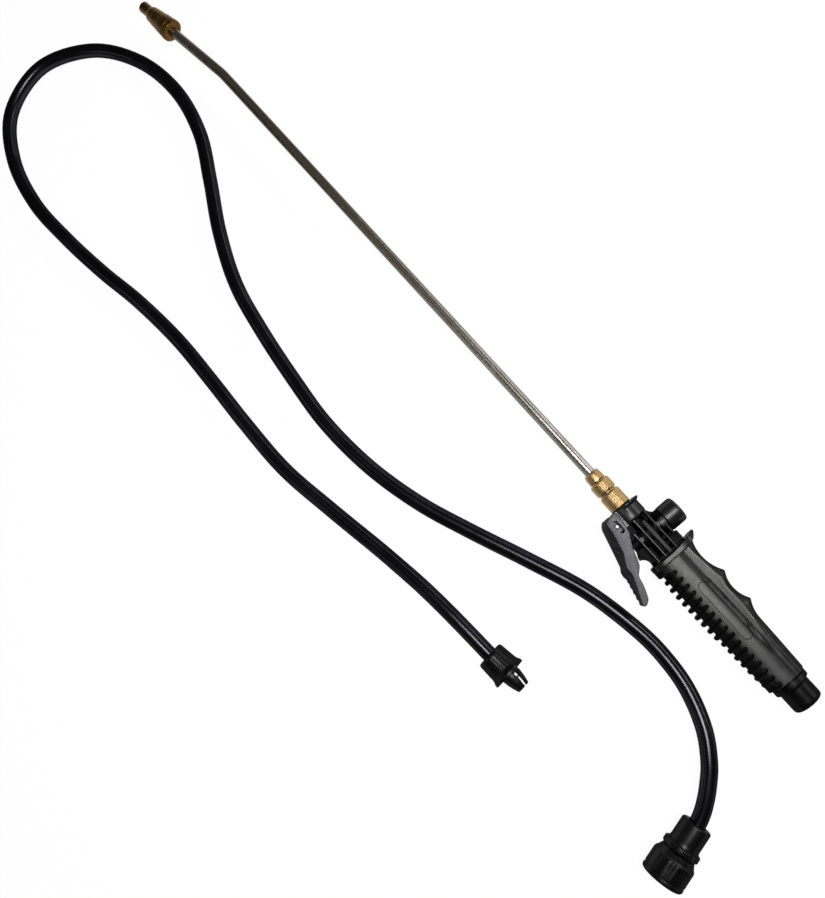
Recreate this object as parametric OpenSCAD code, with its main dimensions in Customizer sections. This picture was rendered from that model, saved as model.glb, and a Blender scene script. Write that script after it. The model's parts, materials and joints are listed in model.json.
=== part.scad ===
// Sprayer lance with a trigger shut-off handle, and its loose pressure hose.
// X runs along the lance to the nozzle, Z is up, all sizes in millimetres.

/* [Grip] */
// Length of the grip from the collar ring to the finger guard
grip_len = 110; // [90:1:130]
// Half thickness of the grip, straight up from the floor plane
grip_half = 14; // [12.5:0.5:15]
// How far the comb side stands from the lance axis
comb_y = 15; // [13:0.1:16]
// How far the flat palm side stands from the lance axis
palm_y = 17.5; // [16.5:0.5:19]
// How far the peaks between the finger scallops stand out
peak_y = 22.3; // [20.5:0.1:24]
// Radius of the finger scallop nearest to the guard
scallop_r1 = 30; // [24:1:36]
// Radius of the middle finger scallop
scallop_r2 = 22; // [18:1:30]
// Spacing of the two scallop peaks
peak_gap = 25.5; // [22:0.5:28]
// Number of slots in the comb side
slot_count = 17; // [8:1:18]
// Width of one comb slot
slot_w = 3.5; // [2.4:0.1:4]
// Spacing of the comb slots
slot_pitch = 6.36; // [6:0.02:6.4]
// Depth of the comb slots, from the comb side inwards
slot_depth = 11.8; // [9:0.1:12.5]
// Radius of the round core that the slots stop at
core_r = 10.5; // [9:0.1:11.5]
// How far the core bulges towards the comb side
core_bulge = 5.4; // [3:0.1:6]
// Depth of the label recess
label_depth = 0.4; // [0.2:0.1:1]
// Length of the label recess
label_len = 49; // [30:1:60]

/* [Finger guard] */
// Thickness of the guard plate
guard_t = 4.6; // [3:0.2:7]
// Half width of the guard plate, which the handle lies on
guard_half = 16; // [15:0.5:18]
// How far the guard's finger tip stands from the lance axis
guard_tip = 26.2; // [24:0.1:30]
// How far the guard's tip leans forward
guard_lean = 2; // [0:0.2:4]
// How far the thumb rest stands out on the lever side
thumb_y = 15.2; // [14:0.1:16.5]

/* [Inlet] */
// Length of the inlet stub
stub_len = 16; // [12:1:24]
// Radius of the inlet stub
stub_r = 11.2; // [10.2:0.1:12]
// Length of the collar ring
collar_len = 5.5; // [4:0.5:8]
// Radius of the collar ring
collar_r = 13.4; // [12.8:0.1:14]
// Depth of the shadow groove in front of the collar ring
collar_groove = 1; // [0.4:0.1:1.6]
// How far the inlet axis lies to the palm side of the lance axis
inlet_off = 3.5; // [2.5:0.1:4]
// Outside radius of the feed pipe inside the grip
pipe_r = 7; // [6.4:0.1:7.6]
// Bore radius of the feed pipe
pipe_bore = 4; // [3:0.1:4.6]
// Depth of the open mouth in the stub
mouth_len = 6; // [5:0.5:8]
// Radius of the open mouth in the stub
mouth_r = 8.4; // [8:0.1:8.8]
// Thickness of the gasket in the mouth
gasket_t = 2; // [1:0.2:3]
// Length of the strainer thimble
strainer_len = 22; // [12:1:40]
// Wall of the strainer thimble
strainer_wall = 0.8; // [0.5:0.1:1.2]

/* [Valve body] */
// Length of the ribbed part between the guard and the front socket
cage_len = 33.4; // [32:0.2:40]
// Length of the front socket
socket_len = 13.5; // [12:0.5:16]
// Radius of the front socket
socket_r = 11.8; // [11:0.1:12.6]
// How far the nose lip stands out of the socket
lip_h = 2.2; // [0.6:0.1:3]
// Half height of the long ribs
rib_half = 10.6; // [9:0.2:12]
// Thickness of one long rib
rib_t = 1.3; // [0.9:0.1:1.8]
// Radius of the core behind the ribs
spine_r = 7.6; // [7:0.1:8.2]
// How far the valve axis lies in front of the guard
valve_in = 20.2; // [19:0.1:20.8]
// Bore radius of the valve chamber
chamber_r = 5.5; // [5:0.1:5.8]
// Outside radius of the chamber tube that the cap screws on
boss_r = 8.2; // [7.6:0.1:8.6]
// Radius of the outlet way
way_r = 3; // [2.2:0.1:3.2]
// Radius of the feed way into the chamber
feed_r = 2.3; // [1.8:0.1:2.5]
// Wall round the feed way
feed_wall = 1.4; // [1:0.1:1.8]
// How far the end of the stem boss stands on the lever side
stem_boss_y = 14; // [12.5:0.1:14]
// Radius of the stem boss
stem_boss_r = 5.4; // [5:0.1:5.6]
// Radius of the finger arch behind the lever
arch_r = 6.4; // [5:0.1:7]

/* [Side cap] */
// Radius of the side cap
cap_r = 10; // [9.4:0.1:11]
// How far the cap's closed end stands from the lance axis
cap_end = 30; // [28.6:0.1:33]
// How far the cap's open end stands from the lance axis
cap_rim = 16.6; // [16.2:0.1:17.4]
// Thickness of the cap's end wall
cap_wall = 2.2; // [1.6:0.1:2.6]
// Rounding of the cap's end edge
cap_round = 2.4; // [1:0.1:3]

/* [Valve parts] */
// Radius of the valve stem
stem_r = 2; // [1.6:0.1:2.2]
// Where the dome of the stem's head ends, from the lance axis
head_y = 20; // [19.5:0.1:20.5]
// Radius of the stem's head
head_r = 2.9; // [2.4:0.1:3.2]
// Radius of the dome on the stem's head
dome_r = 5; // [4:0.2:8]
// Face of the valve seat on the cap side, from the lance axis
seat_y = 8.6; // [8:0.1:9]
// Thickness of the valve seat ring
seat_t = 2.6; // [1.6:0.1:3]
// Bore radius of the valve seat
seat_bore = 3.2; // [2.6:0.1:3.8]
// Thickness of the rubber seal disc
disc_t = 2; // [1.2:0.1:2.4]
// Radius of the plunger's flange and the seal disc
flange_r = 4.6; // [4.2:0.1:4.8]
// Thickness of the plunger's flange
flange_t = 1.5; // [1:0.1:2]
// Wire radius of the valve spring
wire_r = 0.5; // [0.3:0.05:0.7]
// Mean coil radius of the valve spring
coil_r = 3.9; // [3.4:0.1:4]
// Number of turns of the valve spring
coil_turns = 7; // [5:1:9]
// Length of the stem's guide bush
bush_len = 8.2; // [5:0.1:9]

/* [Lever] */
// How far the lever pivot lies behind the socket's front face
pivot_in = 8.7; // [8:0.1:10]
// How far the lever pivot stands from the lance axis
pivot_y = 11.9; // [11.6:0.1:12.6]
// Half width of the lever
lever_half = 8; // [7.4:0.1:9]
// Thickness of each lever cheek
cheek_t = 2; // [1.4:0.1:2.2]
// Length of the lever from the pivot to the end of its tail
lever_len = 54.9; // [50:0.1:60]
// How far the lever reaches in front of the pivot
lever_nose = 9.3; // [9:0.1:11]
// How far the end of the tail stands from the lance axis
tail_y = 37.2; // [36:0.1:40]
// Thickness of the lever's outer web
web_t = 2.4; // [1.8:0.1:3]
// Outside radius of the hollow pivot pin
pin_r = 2.1; // [1.8:0.1:2.3]
// Bore radius of the hollow pivot pin
pin_bore = 1.55; // [1:0.05:1.6]
// Travel of the lever along its slot
lock_travel = 4; // [2:0.1:4.4]
// Height of one finger ridge on the tail
ridge_h = 0.8; // [0.4:0.1:1.2]

/* [Brass fittings] */
// Length of the knurled part of the outlet connector
knurl_len = 13.5; // [10:0.5:18]
// Radius of the knurled part of the outlet connector
knurl_r = 8.3; // [7.8:0.1:9]
// Number of knurl teeth round the connector
knurl_teeth = 48; // [24:2:60]
// Depth of the knurl teeth
knurl_depth = 0.35; // [0.2:0.05:0.6]
// How far the neck between the two nuts lies inside the knurl
neck_in = 1.3; // [0.6:0.1:2]
// Radius of the connector's shank in the socket
shank_r = 6.1; // [5.6:0.1:7]
// Length of the connector's shank
shank_len = 11; // [8:0.5:12]
// Radius of the connector's front thread
thread_r = 5.6; // [5.2:0.1:6]
// Length of the connector's front thread
thread_len = 8; // [6:0.5:10]
// Width of the groove between the connector and the gland nut
nut_gap = 1.3; // [0.6:0.1:2]
// Length of the gland nut
gland_len = 10.2; // [9.5:0.1:14]
// Radius of the gland nut
gland_r = 8; // [7.4:0.1:8.8]
// Thickness of the gland nut's front lip
gland_lip = 1.4; // [1:0.1:2]
// Length of the ferrule on the tube
ferrule_len = 8; // [5:0.5:12]
// Radius of the ferrule at its back
ferrule_r = 6.5; // [6:0.1:7.4]
// Number of flats round the ferrule
ferrule_flats = 8; // [6:1:12]

/* [Lance tube] */
// Radius of the lance tube
tube_r = 4; // [3.5:0.1:4.4]
// Wall of the lance tube
tube_wall = 0.8; // [0.5:0.1:1.2]
// Length of the straight part of the tube, from the ferrule to the bend
tube_straight = 452; // [300:1:700]
// Radius of the bend in the tube's axis
bend_r = 60; // [40:1:120]
// Angle of the bend
bend_deg = 6.2; // [4:0.2:20]
// Length of the tube between the bend and the nozzle
tube_end = 60.5; // [40:0.5:90]

/* [Nozzle] */
// Length of the nozzle from its back rim to its tip
nozzle_len = 40; // [38:0.5:46]
// Radius of the nozzle's back rim
nozzle_r = 9.6; // [9:0.1:11]
// Length of the nozzle body's visible rim
nozzle_rim = 4.6; // [3.5:0.1:6]
// Radius of the cap's cone at its front shoulder
cone_r = 6.9; // [6.7:0.1:7.6]
// Length of the tip in front of the cone's shoulder
tip_len = 10; // [7:0.5:12]
// Radius of the tip
tip_r = 4.9; // [4.4:0.1:5.4]
// Radius of the spray orifice
orifice_r = 0.75; // [0.4:0.05:1.2]
// Radius of the threaded spigot inside the cap
spigot_r = 5.2; // [5.1:0.1:5.8]
// How far the cap screws out from shut to full spray
cap_out = 3; // [1:0.5:4]

/* [Hose] */
// Outside radius of the hose
hose_r = 6; // [5:0.25:6.5]
// Number of flats round the hose
hose_sides = 10; // [8:1:12]

/* [Small hose fitting] */
// Length of the small nut's skirt up to its flared rim
small_len = 18.6; // [14:0.2:24]
// Radius of the small nut at its shoulder
small_r = 11.2; // [10:0.1:12]
// Radius of the small nut's flared rim, which it lies on
small_rim = 13.5; // [12.6:0.1:15]
// Thickness of the flared rim
small_rim_t = 2; // [1.4:0.1:3]
// Length of the slotted tail that stands out of the nut
collet_len = 13.4; // [9:0.2:18]
// Radius of the slotted tail at its root
collet_r = 7.5; // [6.8:0.1:8.2]
// Radius of the slotted tail at its end
collet_tip = 5.4; // [4.8:0.1:6]
// Width of the slots in the tail
collet_slot = 2.2; // [1.2:0.1:3]
// Direction of the first slot round the collet
collet_turn = 52.7; // [0:0.1:120]
// Radius of the cross hole at the tail's root
collet_hole = 1.5; // [0.8:0.1:2]

/* [Large hose coupling] */
// Length of the collar that the hose runs into
sleeve_len = 14.4; // [12:0.2:20]
// Radius of the collar
sleeve_r = 11; // [9:0.1:12]
// Width of the lock ring
ring_len = 5; // [3:0.2:8]
// Radius of the lock ring
ring_r = 13.5; // [12.6:0.1:14.5]
// Length of the union nut
union_len = 22.4; // [18:0.2:28]
// Radius of the union nut, which it lies on
union_r = 15.7; // [14.8:0.1:17]
// Clear radius inside the union nut
union_bore = 11.4; // [11:0.1:12.6]
// Length of the thread in the union nut's mouth
union_depth = 11; // [8:0.5:13]
// Number of grip flats round the union nut
union_flats = 24; // [12:1:36]
// Thickness of the coupling tail's flange
tail_flange = 2.4; // [1.6:0.2:3]
// Thickness of the union washer
washer_t = 2; // [1:0.2:3]
// Bore radius of the tails inside the hose
tail_bore = 2.6; // [1.8:0.1:3]

/* [Clearances] */
// Radial clearance of shafts, pins and threads that turn
run_fit = 0.06; // [0.02:0.01:0.1]
// Gap between moving faces
face_gap = 0.3; // [0.1:0.05:0.4]
// Radial clearance of pieces seated for good
seat_fit = 0.02; // [0.01:0.01:0.05]

/* [Hidden] */
$fn = 64;
// room round the hose inside its fittings
hose_gap = 0.5;

// stations along the lance
x_collar = stub_len;
x_grip = x_collar + collar_len;
x_guard = x_grip + grip_len;
x_cage = x_guard + guard_t;
x_socket = x_cage + cage_len;
x_front = x_socket + socket_len;
x_nut = x_front + knurl_len;
x_gland = x_nut + nut_gap;
x_gland_end = x_gland + gland_len;
x_ferrule = x_gland_end + 0.3;
x_tube = x_gland + 1.2;
x_bend = x_ferrule + ferrule_len + tube_straight;
x_valve = x_cage + valve_in;
x_pivot = x_front - pivot_in;

// where the nozzle starts and which way it points
nozzle_x = x_bend + bend_r * sin(bend_deg) + tube_end * cos(bend_deg);
nozzle_y = bend_r * (1 - cos(bend_deg)) + tube_end * sin(bend_deg);

// the origin lies under the middle of the lance
x_far = nozzle_x + nozzle_len * cos(bend_deg) + (tip_r - 0.8) * sin(bend_deg);
x_mid = x_far / 2;
y_mid = (tail_y - cap_end) / 2;

// valve travel and the lever angle that gives it
arm = x_pivot - x_valve;
press_deg = 12;
dome_c = head_y - dome_r;
travel = arm * tan(press_deg) + (dome_c - pivot_y) * (1 - 1 / cos(press_deg));
disc_y = seat_y + 0.1;
flange_y = disc_y + disc_t;
spring_y = flange_y + flange_t;
cap_floor = cap_end - cap_wall;
boss_end = cap_rim + 6.6;
// the feed way passes just behind the cap's rim
feed_y = cap_rim - face_gap - feed_wall - feed_r;
x_feed = x_cage + 6.5;
ring_minor = 0.8;
// the tube swells by a hair where it is bent
bend_swell = 0.02;

// ---- helpers: straight pieces along X and Y, and turned pieces along X ----
module xcyl(r, x0, x1, y = 0) { translate([x0, y, 0]) rotate([0, 90, 0]) cylinder(r = r, h = x1 - x0); }
module ycyl(r, y0, y1, x = x_valve) { translate([x, y0, 0]) rotate([-90, 0, 0]) cylinder(r = r,
  h = y1 - y0); }
module turned(x0, y = 0) { translate([x0, y, 0]) rotate([0, 90, 0]) rotate_extrude() children(); }
module turned_y(y0) { translate([x_valve, y0, 0]) rotate([90, 0, 0]) rotate_extrude() children(); }
module slab(half) { translate([0, 0, -half]) linear_extrude(2 * half) children(); }
module oring(major, minor) { rotate_extrude() translate([major, 0]) circle(minor, $fn = 32); }
module tube_section(ro, ri, s0, s1) { translate([ri, s0]) square([ro - ri, s1 - s0]); }

// seats the lance so that the guard's edge lies on the floor plane
module on_floor() { translate([-x_mid, -y_mid, guard_half]) children(); }

// a rounded bar section along X, between two y values, with its own corner radii
module bar_section(y0, y1, half, ra, rb) {
  translate([-half, y0 + ra]) square([2 * half, y1 - y0 - ra - rb]);
  translate([-half + ra, y0]) square([2 * half - 2 * ra, ra]);
  translate([-half + rb, y1 - rb]) square([2 * half - 2 * rb, rb]);
  for (s = [-1, 1]) {
    translate([s * (half - ra), y0 + ra]) circle(ra);
    translate([s * (half - rb), y1 - rb]) circle(rb);
  }
}
// section in (z, y), drawn out along X from x0 to x1
module along_x(x0, x1) {
  multmatrix([[0, 0, 1, x0], [0, 1, 0, 0], [-1, 0, 0, 0], [0, 0, 0, 1]]) linear_extrude(x1 - x0) children();
}

// knurled ring outline: fine flat-sided teeth
function knurl(r, depth, n) = [for (i = [0 : 2 * n - 1]) (r - (i % 2) * depth) *
  [cos(i * 180 / n), sin(i * 180 / n)]];

// points of an arc that bows towards +y between two points
function bow(p, q, r, n) =
  let (m = (p + q) / 2, c = norm(q - p) / 2, h = sqrt(r * r - c * c), u = (q - p) / (2 * c))
  let (o = m - h * [-u[1], u[0]] * sign(u[0]), a = atan2(p[1] - o[1], p[0] - o[0]))
  let (b = atan2(q[1] - o[1], q[0] - o[0]))
  [for (i = [0 : n]) o + r * [cos(a + (b - a) * i / n), sin(a + (b - a) * i / n)]];

// ---- grip ----
peak1_x = x_guard - 28.5;
comb_bow = max(comb_y, thumb_y) + 0.1;
peak2_x = peak1_x - peak_gap;
function grip_outline() = concat(
  [[x_grip, 9.8], [x_grip, -palm_y + 0.8], [x_grip + 22, -palm_y]],
  bow([x_grip + 43, -palm_y - 0.5], [peak2_x - 0.4, -peak_y], 24, 6),
  bow([peak2_x + 0.4, -peak_y], [peak1_x - 0.4, -peak_y], scallop_r2, 10),
  bow([peak1_x + 0.4, -peak_y], [x_guard + 1.6, -peak_y + 1.9], scallop_r1, 10),
  [[x_guard + 1.6, thumb_y], [x_guard - 4.4, thumb_y], [x_guard - 6, comb_y - 0.7], [x_guard - 14, comb_y],
   [x_grip + 66, comb_y], [x_grip + 45, comb_y - 1.3], [x_grip + 20, comb_y - 1.9], [x_grip, comb_y - 3.1]]);

// half of the grip's section in (z, y): round comb side, flat top, crease, sloping flank, edge
function grip_side(s) = concat(
  [for (a = [90 : -10 : 0]) [grip_half - 11 + 11 * cos(a), comb_bow - 10 + 10 * sin(a)]],
  [[grip_half, -7.5], [grip_half - 3, -palm_y + 1.6], [grip_half - 4.4, -palm_y - 0.6],
   [grip_half - 6.6, -peak_y + 1], [4, -peak_y - 0.6]]);
// front face of the guard, which leans forward below the lance axis
lean_face = [[x_cage, -4], [x_cage + 1.4, -palm_y - 1.2]];
module guard_outline() {
  polygon([[x_guard, thumb_y], [x_guard, -12], [x_guard + 1.2, -peak_y + 3.4],
    [x_cage + guard_lean - 0.7, -guard_tip], [x_cage + guard_lean + 0.9, -guard_tip],
    lean_face[1], lean_face[0], [x_cage, thumb_y]]);
}
module label_outline() {
  translate([x_guard - 72.5, -3.2]) {
    for (x = [0, label_len - 7]) translate([x + 3.5, 0]) circle(3.5);
    translate([3.5, -3.5]) square([label_len - 7, 7]);
  }
}
module slot_cutter() {
  difference() {
    slab(guard_half + 1) for (i = [0 : slot_count - 1]) translate([x_guard - 5.6 - i * slot_pitch, 0]) {
      translate([0, comb_y - slot_depth + slot_w / 2]) circle(slot_w / 2);
      translate([-slot_w / 2, comb_y - slot_depth + slot_w / 2]) square([slot_w, slot_depth + 4]);
    }
    hull() {
      xcyl(core_r, x_grip - 1, x_cage + 1, -inlet_off);
      xcyl(core_r - 1.5, x_grip - 1, x_cage + 1, core_bulge - inlet_off);
    }
    translate([x_guard - 4, 0, -guard_half - 2]) cube([20, 30, 2 * guard_half + 4]);
  }
}
module grip() {
  color("#4a4a4e") on_floor() difference() {
    union() {
      intersection() {
        slab(guard_half) polygon(grip_outline());
        along_x(x_grip, x_guard + 1.6) polygon(concat(grip_side(1), [for (i = [1 : len(grip_side(1))])
          let (p = grip_side(1)[len(grip_side(1)) - i]) [-p[0], p[1]]]));
      }
      intersection() {
        slab(guard_half) guard_outline();
        along_x(x_guard, x_cage + 6) bar_section(-guard_tip - 2, thumb_y, guard_half, 12, 4);
      }
    }
    xcyl(pipe_r + seat_fit, x_grip - 1, x_cage + 1, -inlet_off);
    slot_cutter();
    translate([0, 0, grip_half - label_depth]) linear_extrude(label_depth + 1) label_outline();
  }
}

// ---- inlet ----
module inlet_spigot() {
  color("#1c1c1e") on_floor() difference() {
    turned(0, -inlet_off) polygon([[mouth_r, 0], [stub_r - 2.2, 0], [stub_r - 0.6, 0.7], [stub_r, 2.4],
      [stub_r, x_collar], [collar_r - 0.5, x_collar], [collar_r, x_collar + 0.5],
      [collar_r, x_grip - 1.3], [collar_r - 0.4, x_grip - 0.8], [collar_r - collar_groove, x_grip - 0.8],
      [collar_r - collar_groove, x_grip], [pipe_bore, x_grip], [pipe_bore, mouth_len],
      [mouth_r, mouth_len]]);
    xcyl(pipe_r + seat_fit, mouth_len + 2, x_grip + 1, -inlet_off);
  }
}
module inlet_strainer() {
  color("#8a8d90") on_floor() difference() {
    turned(mouth_len, -inlet_off) polygon([[0, -1.2], [mouth_r - 1, -1.2], [mouth_r - 1, 0],
      [pipe_bore - 0.4, 0], [pipe_bore - 0.6, strainer_len], [0, strainer_len]]);
    xcyl(pipe_bore - 0.6 - strainer_wall, mouth_len - 2, mouth_len + strainer_len - strainer_wall,
      -inlet_off);
    for (i = [1 : 6]) for (a = [0, 90]) translate([mouth_len + i * 3, -inlet_off, 0]) rotate([a, 0, 0])
      translate([0, 0, -9]) cylinder(r = 0.9, h = 18, $fn = 24);
  }
}
module inlet_gasket() {
  color("#26262a") on_floor() turned(mouth_len - 1.2 - gasket_t, -inlet_off)
    tube_section(mouth_r - seat_fit, pipe_bore + 0.4, 0, gasket_t);
}

// ---- valve body: feed pipe, ribbed cage, valve chamber, stem boss, lever ear and front socket ----
module cage_ribs() {
  xcyl(spine_r, x_cage, x_socket + 1, -1.6);
  along_x(x_cage, x_cage + 2.2) bar_section(-palm_y, comb_y - 3.2, rib_half, 4, 4);
  // long ribs, from the lever side to the cap side
  for (r = [[7.3, rib_t], [1, rib_t], [-3.7, 3], [-9, rib_t]])
    translate([x_cage, r[0] - r[1] / 2, -rib_half]) cube([cage_len + 1, r[1], 2 * rib_half]);
  translate([x_cage + 9, -15.1, -9.4]) cube([15, rib_t, 18.8]);
  translate([x_cage, -palm_y, -6.5]) cube([9.5, palm_y - 8, 13]);
}
module cage_solid() {
  xcyl(pipe_r, mouth_len + 2, x_cage + 4, -inlet_off);
  difference() {
    cage_ribs();
    slab(guard_half) polygon([[x_cage - 1, lean_face[0][1]], lean_face[0], lean_face[1],
      [x_cage - 1, lean_face[1][1]]]);
  }
  // valve chamber, its collar, the stem boss and the feed way's wall
  ycyl(boss_r, -boss_end, 7);
  ycyl(cap_r - 0.3, -cap_rim + face_gap, -11.4);
  ycyl(stem_boss_r, 5, stem_boss_y);
  xcyl(feed_r + feed_wall, x_feed, x_valve, -feed_y);
  ycyl(feed_r + feed_wall, -feed_y - 1, -inlet_off, x_feed);
  for (p = [[x_cage + 21, -9.8], [x_cage + 20, 6]]) translate([p[0], p[1],
    -9.6]) cylinder(r = 2.1, h = 19.2);
  // web between the socket and the cap, and the finger arch's wall
  slab(5) polygon([[x_socket + 2, -socket_r + 1], [x_socket - 1, -socket_r], [x_socket - 3, -cap_rim + 3.2],
    [x_valve + 8, -cap_rim + 1.2], [x_valve + 4, -5], [x_socket, -5]]);
  slab(lever_half - cheek_t - 0.5) difference() {
    polygon([[x_cage, 4], [x_valve, 4], [x_valve, stem_boss_y], [x_valve - 5, stem_boss_y],
      [x_cage + 11.2, stem_boss_y + 2.2], [x_cage + 9, stem_boss_y + 2.2], [x_cage, comb_y]]);
    translate([x_cage + 3.2, stem_boss_y + 4.1]) circle(arch_r);
  }
  // front socket with the nose lip
  xcyl(socket_r, x_socket, x_front);
  translate([x_front - 4.2, 0, 0]) rotate([0, 90, 0]) rotate([0, 0, 35])
    rotate_extrude(angle = -250) polygon([[socket_r - 2, 0], [socket_r, 0.4], [socket_r + lip_h, 2.9],
      [socket_r + lip_h, 3.5], [socket_r - 0.4, 4.1], [socket_r - 2, 4.1]]);
  // ear that carries the lever's pin
  slab(lever_half - cheek_t - face_gap) {
    translate([x_pivot, pivot_y]) circle(4.7);
    polygon([[x_pivot + 4.7, 4], [x_pivot + 4.7, pivot_y], [x_pivot, pivot_y + 4.7],
      [x_pivot - 8, pivot_y + 3.8], [x_valve + 3, stem_boss_y - 1], [x_valve + 3, 4]]);
  }
}
module valve_body() {
  color("#151517") on_floor() difference() {
    cage_solid();
    // room for the lever's cheeks on both sides of the ear
    for (s = [0, 1]) mirror([0, 0, s])
      translate([x_pivot - 12, pivot_y - 6.6, lever_half - cheek_t - face_gap]) cube([24, 30, 20]);
    // feed way
    xcyl(pipe_bore, 0, x_feed, -inlet_off);
    ycyl(feed_r, -feed_y, -inlet_off, x_feed);
    xcyl(feed_r, x_feed - feed_r, x_valve, -feed_y);
    // chamber, downstream room, bush seat
    ycyl(chamber_r, -boss_end - 1, -seat_y + seat_t);
    ycyl(way_r + 0.6, -seat_y, 5);
    ycyl(stem_r + 2.2, 3.5, stem_boss_y + 4);
    // outlet way and the connector's seat
    xcyl(way_r, x_valve, x_front + 1);
    xcyl(shank_r + seat_fit, x_front - shank_len, x_front + 1);
    // pin hole
    translate([x_pivot, pivot_y, -20]) cylinder(r = pin_r + run_fit, h = 40);
  }
}

// ---- valve train ----
module valve_seat() {
  color("#b8913f") on_floor() turned_y(-seat_y + seat_t)
    tube_section(chamber_r - seat_fit, seat_bore, 0, seat_t);
}
module stem_bush() {
  color("#e8e8e4") on_floor() turned_y(stem_boss_y)
    tube_section(stem_r + 2.2 - seat_fit, stem_r + run_fit, 0, bush_len);
}
module stem_oring() {
  color("#202022") on_floor()
    translate([x_valve, stem_boss_y - bush_len - ring_minor - 0.1, 0]) rotate([90, 0, 0])
    oring(stem_r + ring_minor + 0.3, ring_minor);
}
module plunger() {
  color("#d9d9d4") on_floor() translate([x_valve, 0, 0]) rotate([-90, 0, 0]) {
    difference() {
      union() {
        translate([0, 0, -spring_y - 2]) cylinder(r = coil_r - wire_r - 0.3, h = 2);
        translate([0, 0, -spring_y]) cylinder(r = flange_r, h = flange_t);
        translate([0, 0, -flange_y]) cylinder(r = stem_r, h = flange_y + head_y - 1.5);
        translate([0, 0, head_y - 1.5]) cylinder(r1 = stem_r, r2 = head_r, h = 0.3);
        intersection() {
          translate([0, 0, head_y - 1.2]) cylinder(r = head_r, h = 3);
          translate([0, 0, dome_c]) sphere(dome_r);
        }
      }
    }
  }
}
module seal_disc() {
  color("#202022") on_floor() turned_y(-disc_y) tube_section(flange_r, stem_r + seat_fit, 0, disc_t);
}

// a wire swept round the valve axis: closed end turns, open turns between them
function coil_y(t, len) = len * (t < 0.12 ? t * 0.35 : t > 0.88 ? 1 - (1 - t) * 0.35
  : 0.042 + (t - 0.12) * (1 - 0.084) / 0.76);
function coil_points(len) = [for (i = [0 : coil_turns * 14])
  let (t = i / (coil_turns * 14), a = t * coil_turns * 360)
  for (k = [0 : 5]) [(coil_r + wire_r * cos(k * 60)) * cos(a), (coil_r + wire_r * cos(k * 60)) * sin(a),
    wire_r + coil_y(t, len - 2 * wire_r) + wire_r * sin(k * 60)]];
// faces of a swept tube with n rings of m points, triangles only
function swept_faces(n, m) = concat(
  [for (k = [1 : m - 2]) [0, k, k + 1]],
  [for (i = [0 : n - 2]) for (k = [0 : m - 1]) [i * m + k, (i + 1) * m + k, i * m + (k + 1) % m]],
  [for (i = [0 : n - 2]) for (k = [0 : m - 1]) [(i + 1) * m + k, (i + 1) * m + (k + 1) % m,
  i * m + (k + 1) % m]],
  [for (k = [1 : m - 2]) [(n - 1) * m, (n - 1) * m + k + 1, (n - 1) * m + k]]);
module valve_spring() {
  color("#b9bcc0") on_floor() translate([x_valve, -spring_y - 0.05, 0]) rotate([90, 0, 0])
    polyhedron(coil_points(cap_floor - spring_y - 0.1), swept_faces(coil_turns * 14 + 1, 6));
}
module valve_cap() {
  color("#1b1b1d") on_floor() turned_y(-cap_rim) difference() {
    polygon([[0, 0], [cap_r - 0.4, 0], [cap_r, 0.4], [cap_r, cap_end - cap_rim - cap_round],
      for (a = [15 : 15 : 90]) [cap_r - cap_round * (1 - cos(a)),
        cap_end - cap_rim - cap_round * (1 - sin(a))],
      [0, cap_end - cap_rim]]);
    square([boss_r + run_fit, boss_end - cap_rim + 2 * ring_minor + 0.1]);
    square([chamber_r, cap_floor - cap_rim]);
  }
}
module cap_oring() {
  color("#202022") on_floor() translate([x_valve, -boss_end - ring_minor - 0.05, 0]) rotate([90, 0, 0])
    oring((chamber_r + boss_r) / 2 + 0.1, ring_minor - 0.05);
}

// ---- lever and its hollow pin ----
// outer edge of the lever from its nose over the web to the end of the tail, about the pivot
function lever_outer() = [[lever_nose, -4.6], [lever_nose, 6.5], [lever_nose - 1.8, 8.6], [5, 10.2],
  [-7.6, 13.8], [-23, 18.4], [-26.2, 20.7], [-30.2, 21.4], [-32.9, 20.8], [-34.4, 21.9],
  for (i = [0 : 3]) for (k = [0, 1]) [-36.4 - i * 4.1 - k * 2.6, 21.8 + i * 0.95 + k * (0.3 + ridge_h)],
  [2.2 - lever_len, tail_y - pivot_y]];
function lever_inner() = [[0.4 - lever_len, tail_y - pivot_y - 1], [-lever_len, tail_y - pivot_y - 2.6],
  [-53, 19.2], [-50.4, 17.6], [-42.8, 14.5], [-36.8, 13], [-35.4, 12.3], [-31.1, 7.4], [-28.8, 6.3],
  [-24.9, 4.8], [-18.9, 2.6], [-13.1, -0.7], [-9, -3.2], [-4.9, -4.3], [4.8, -5.8]];
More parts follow.
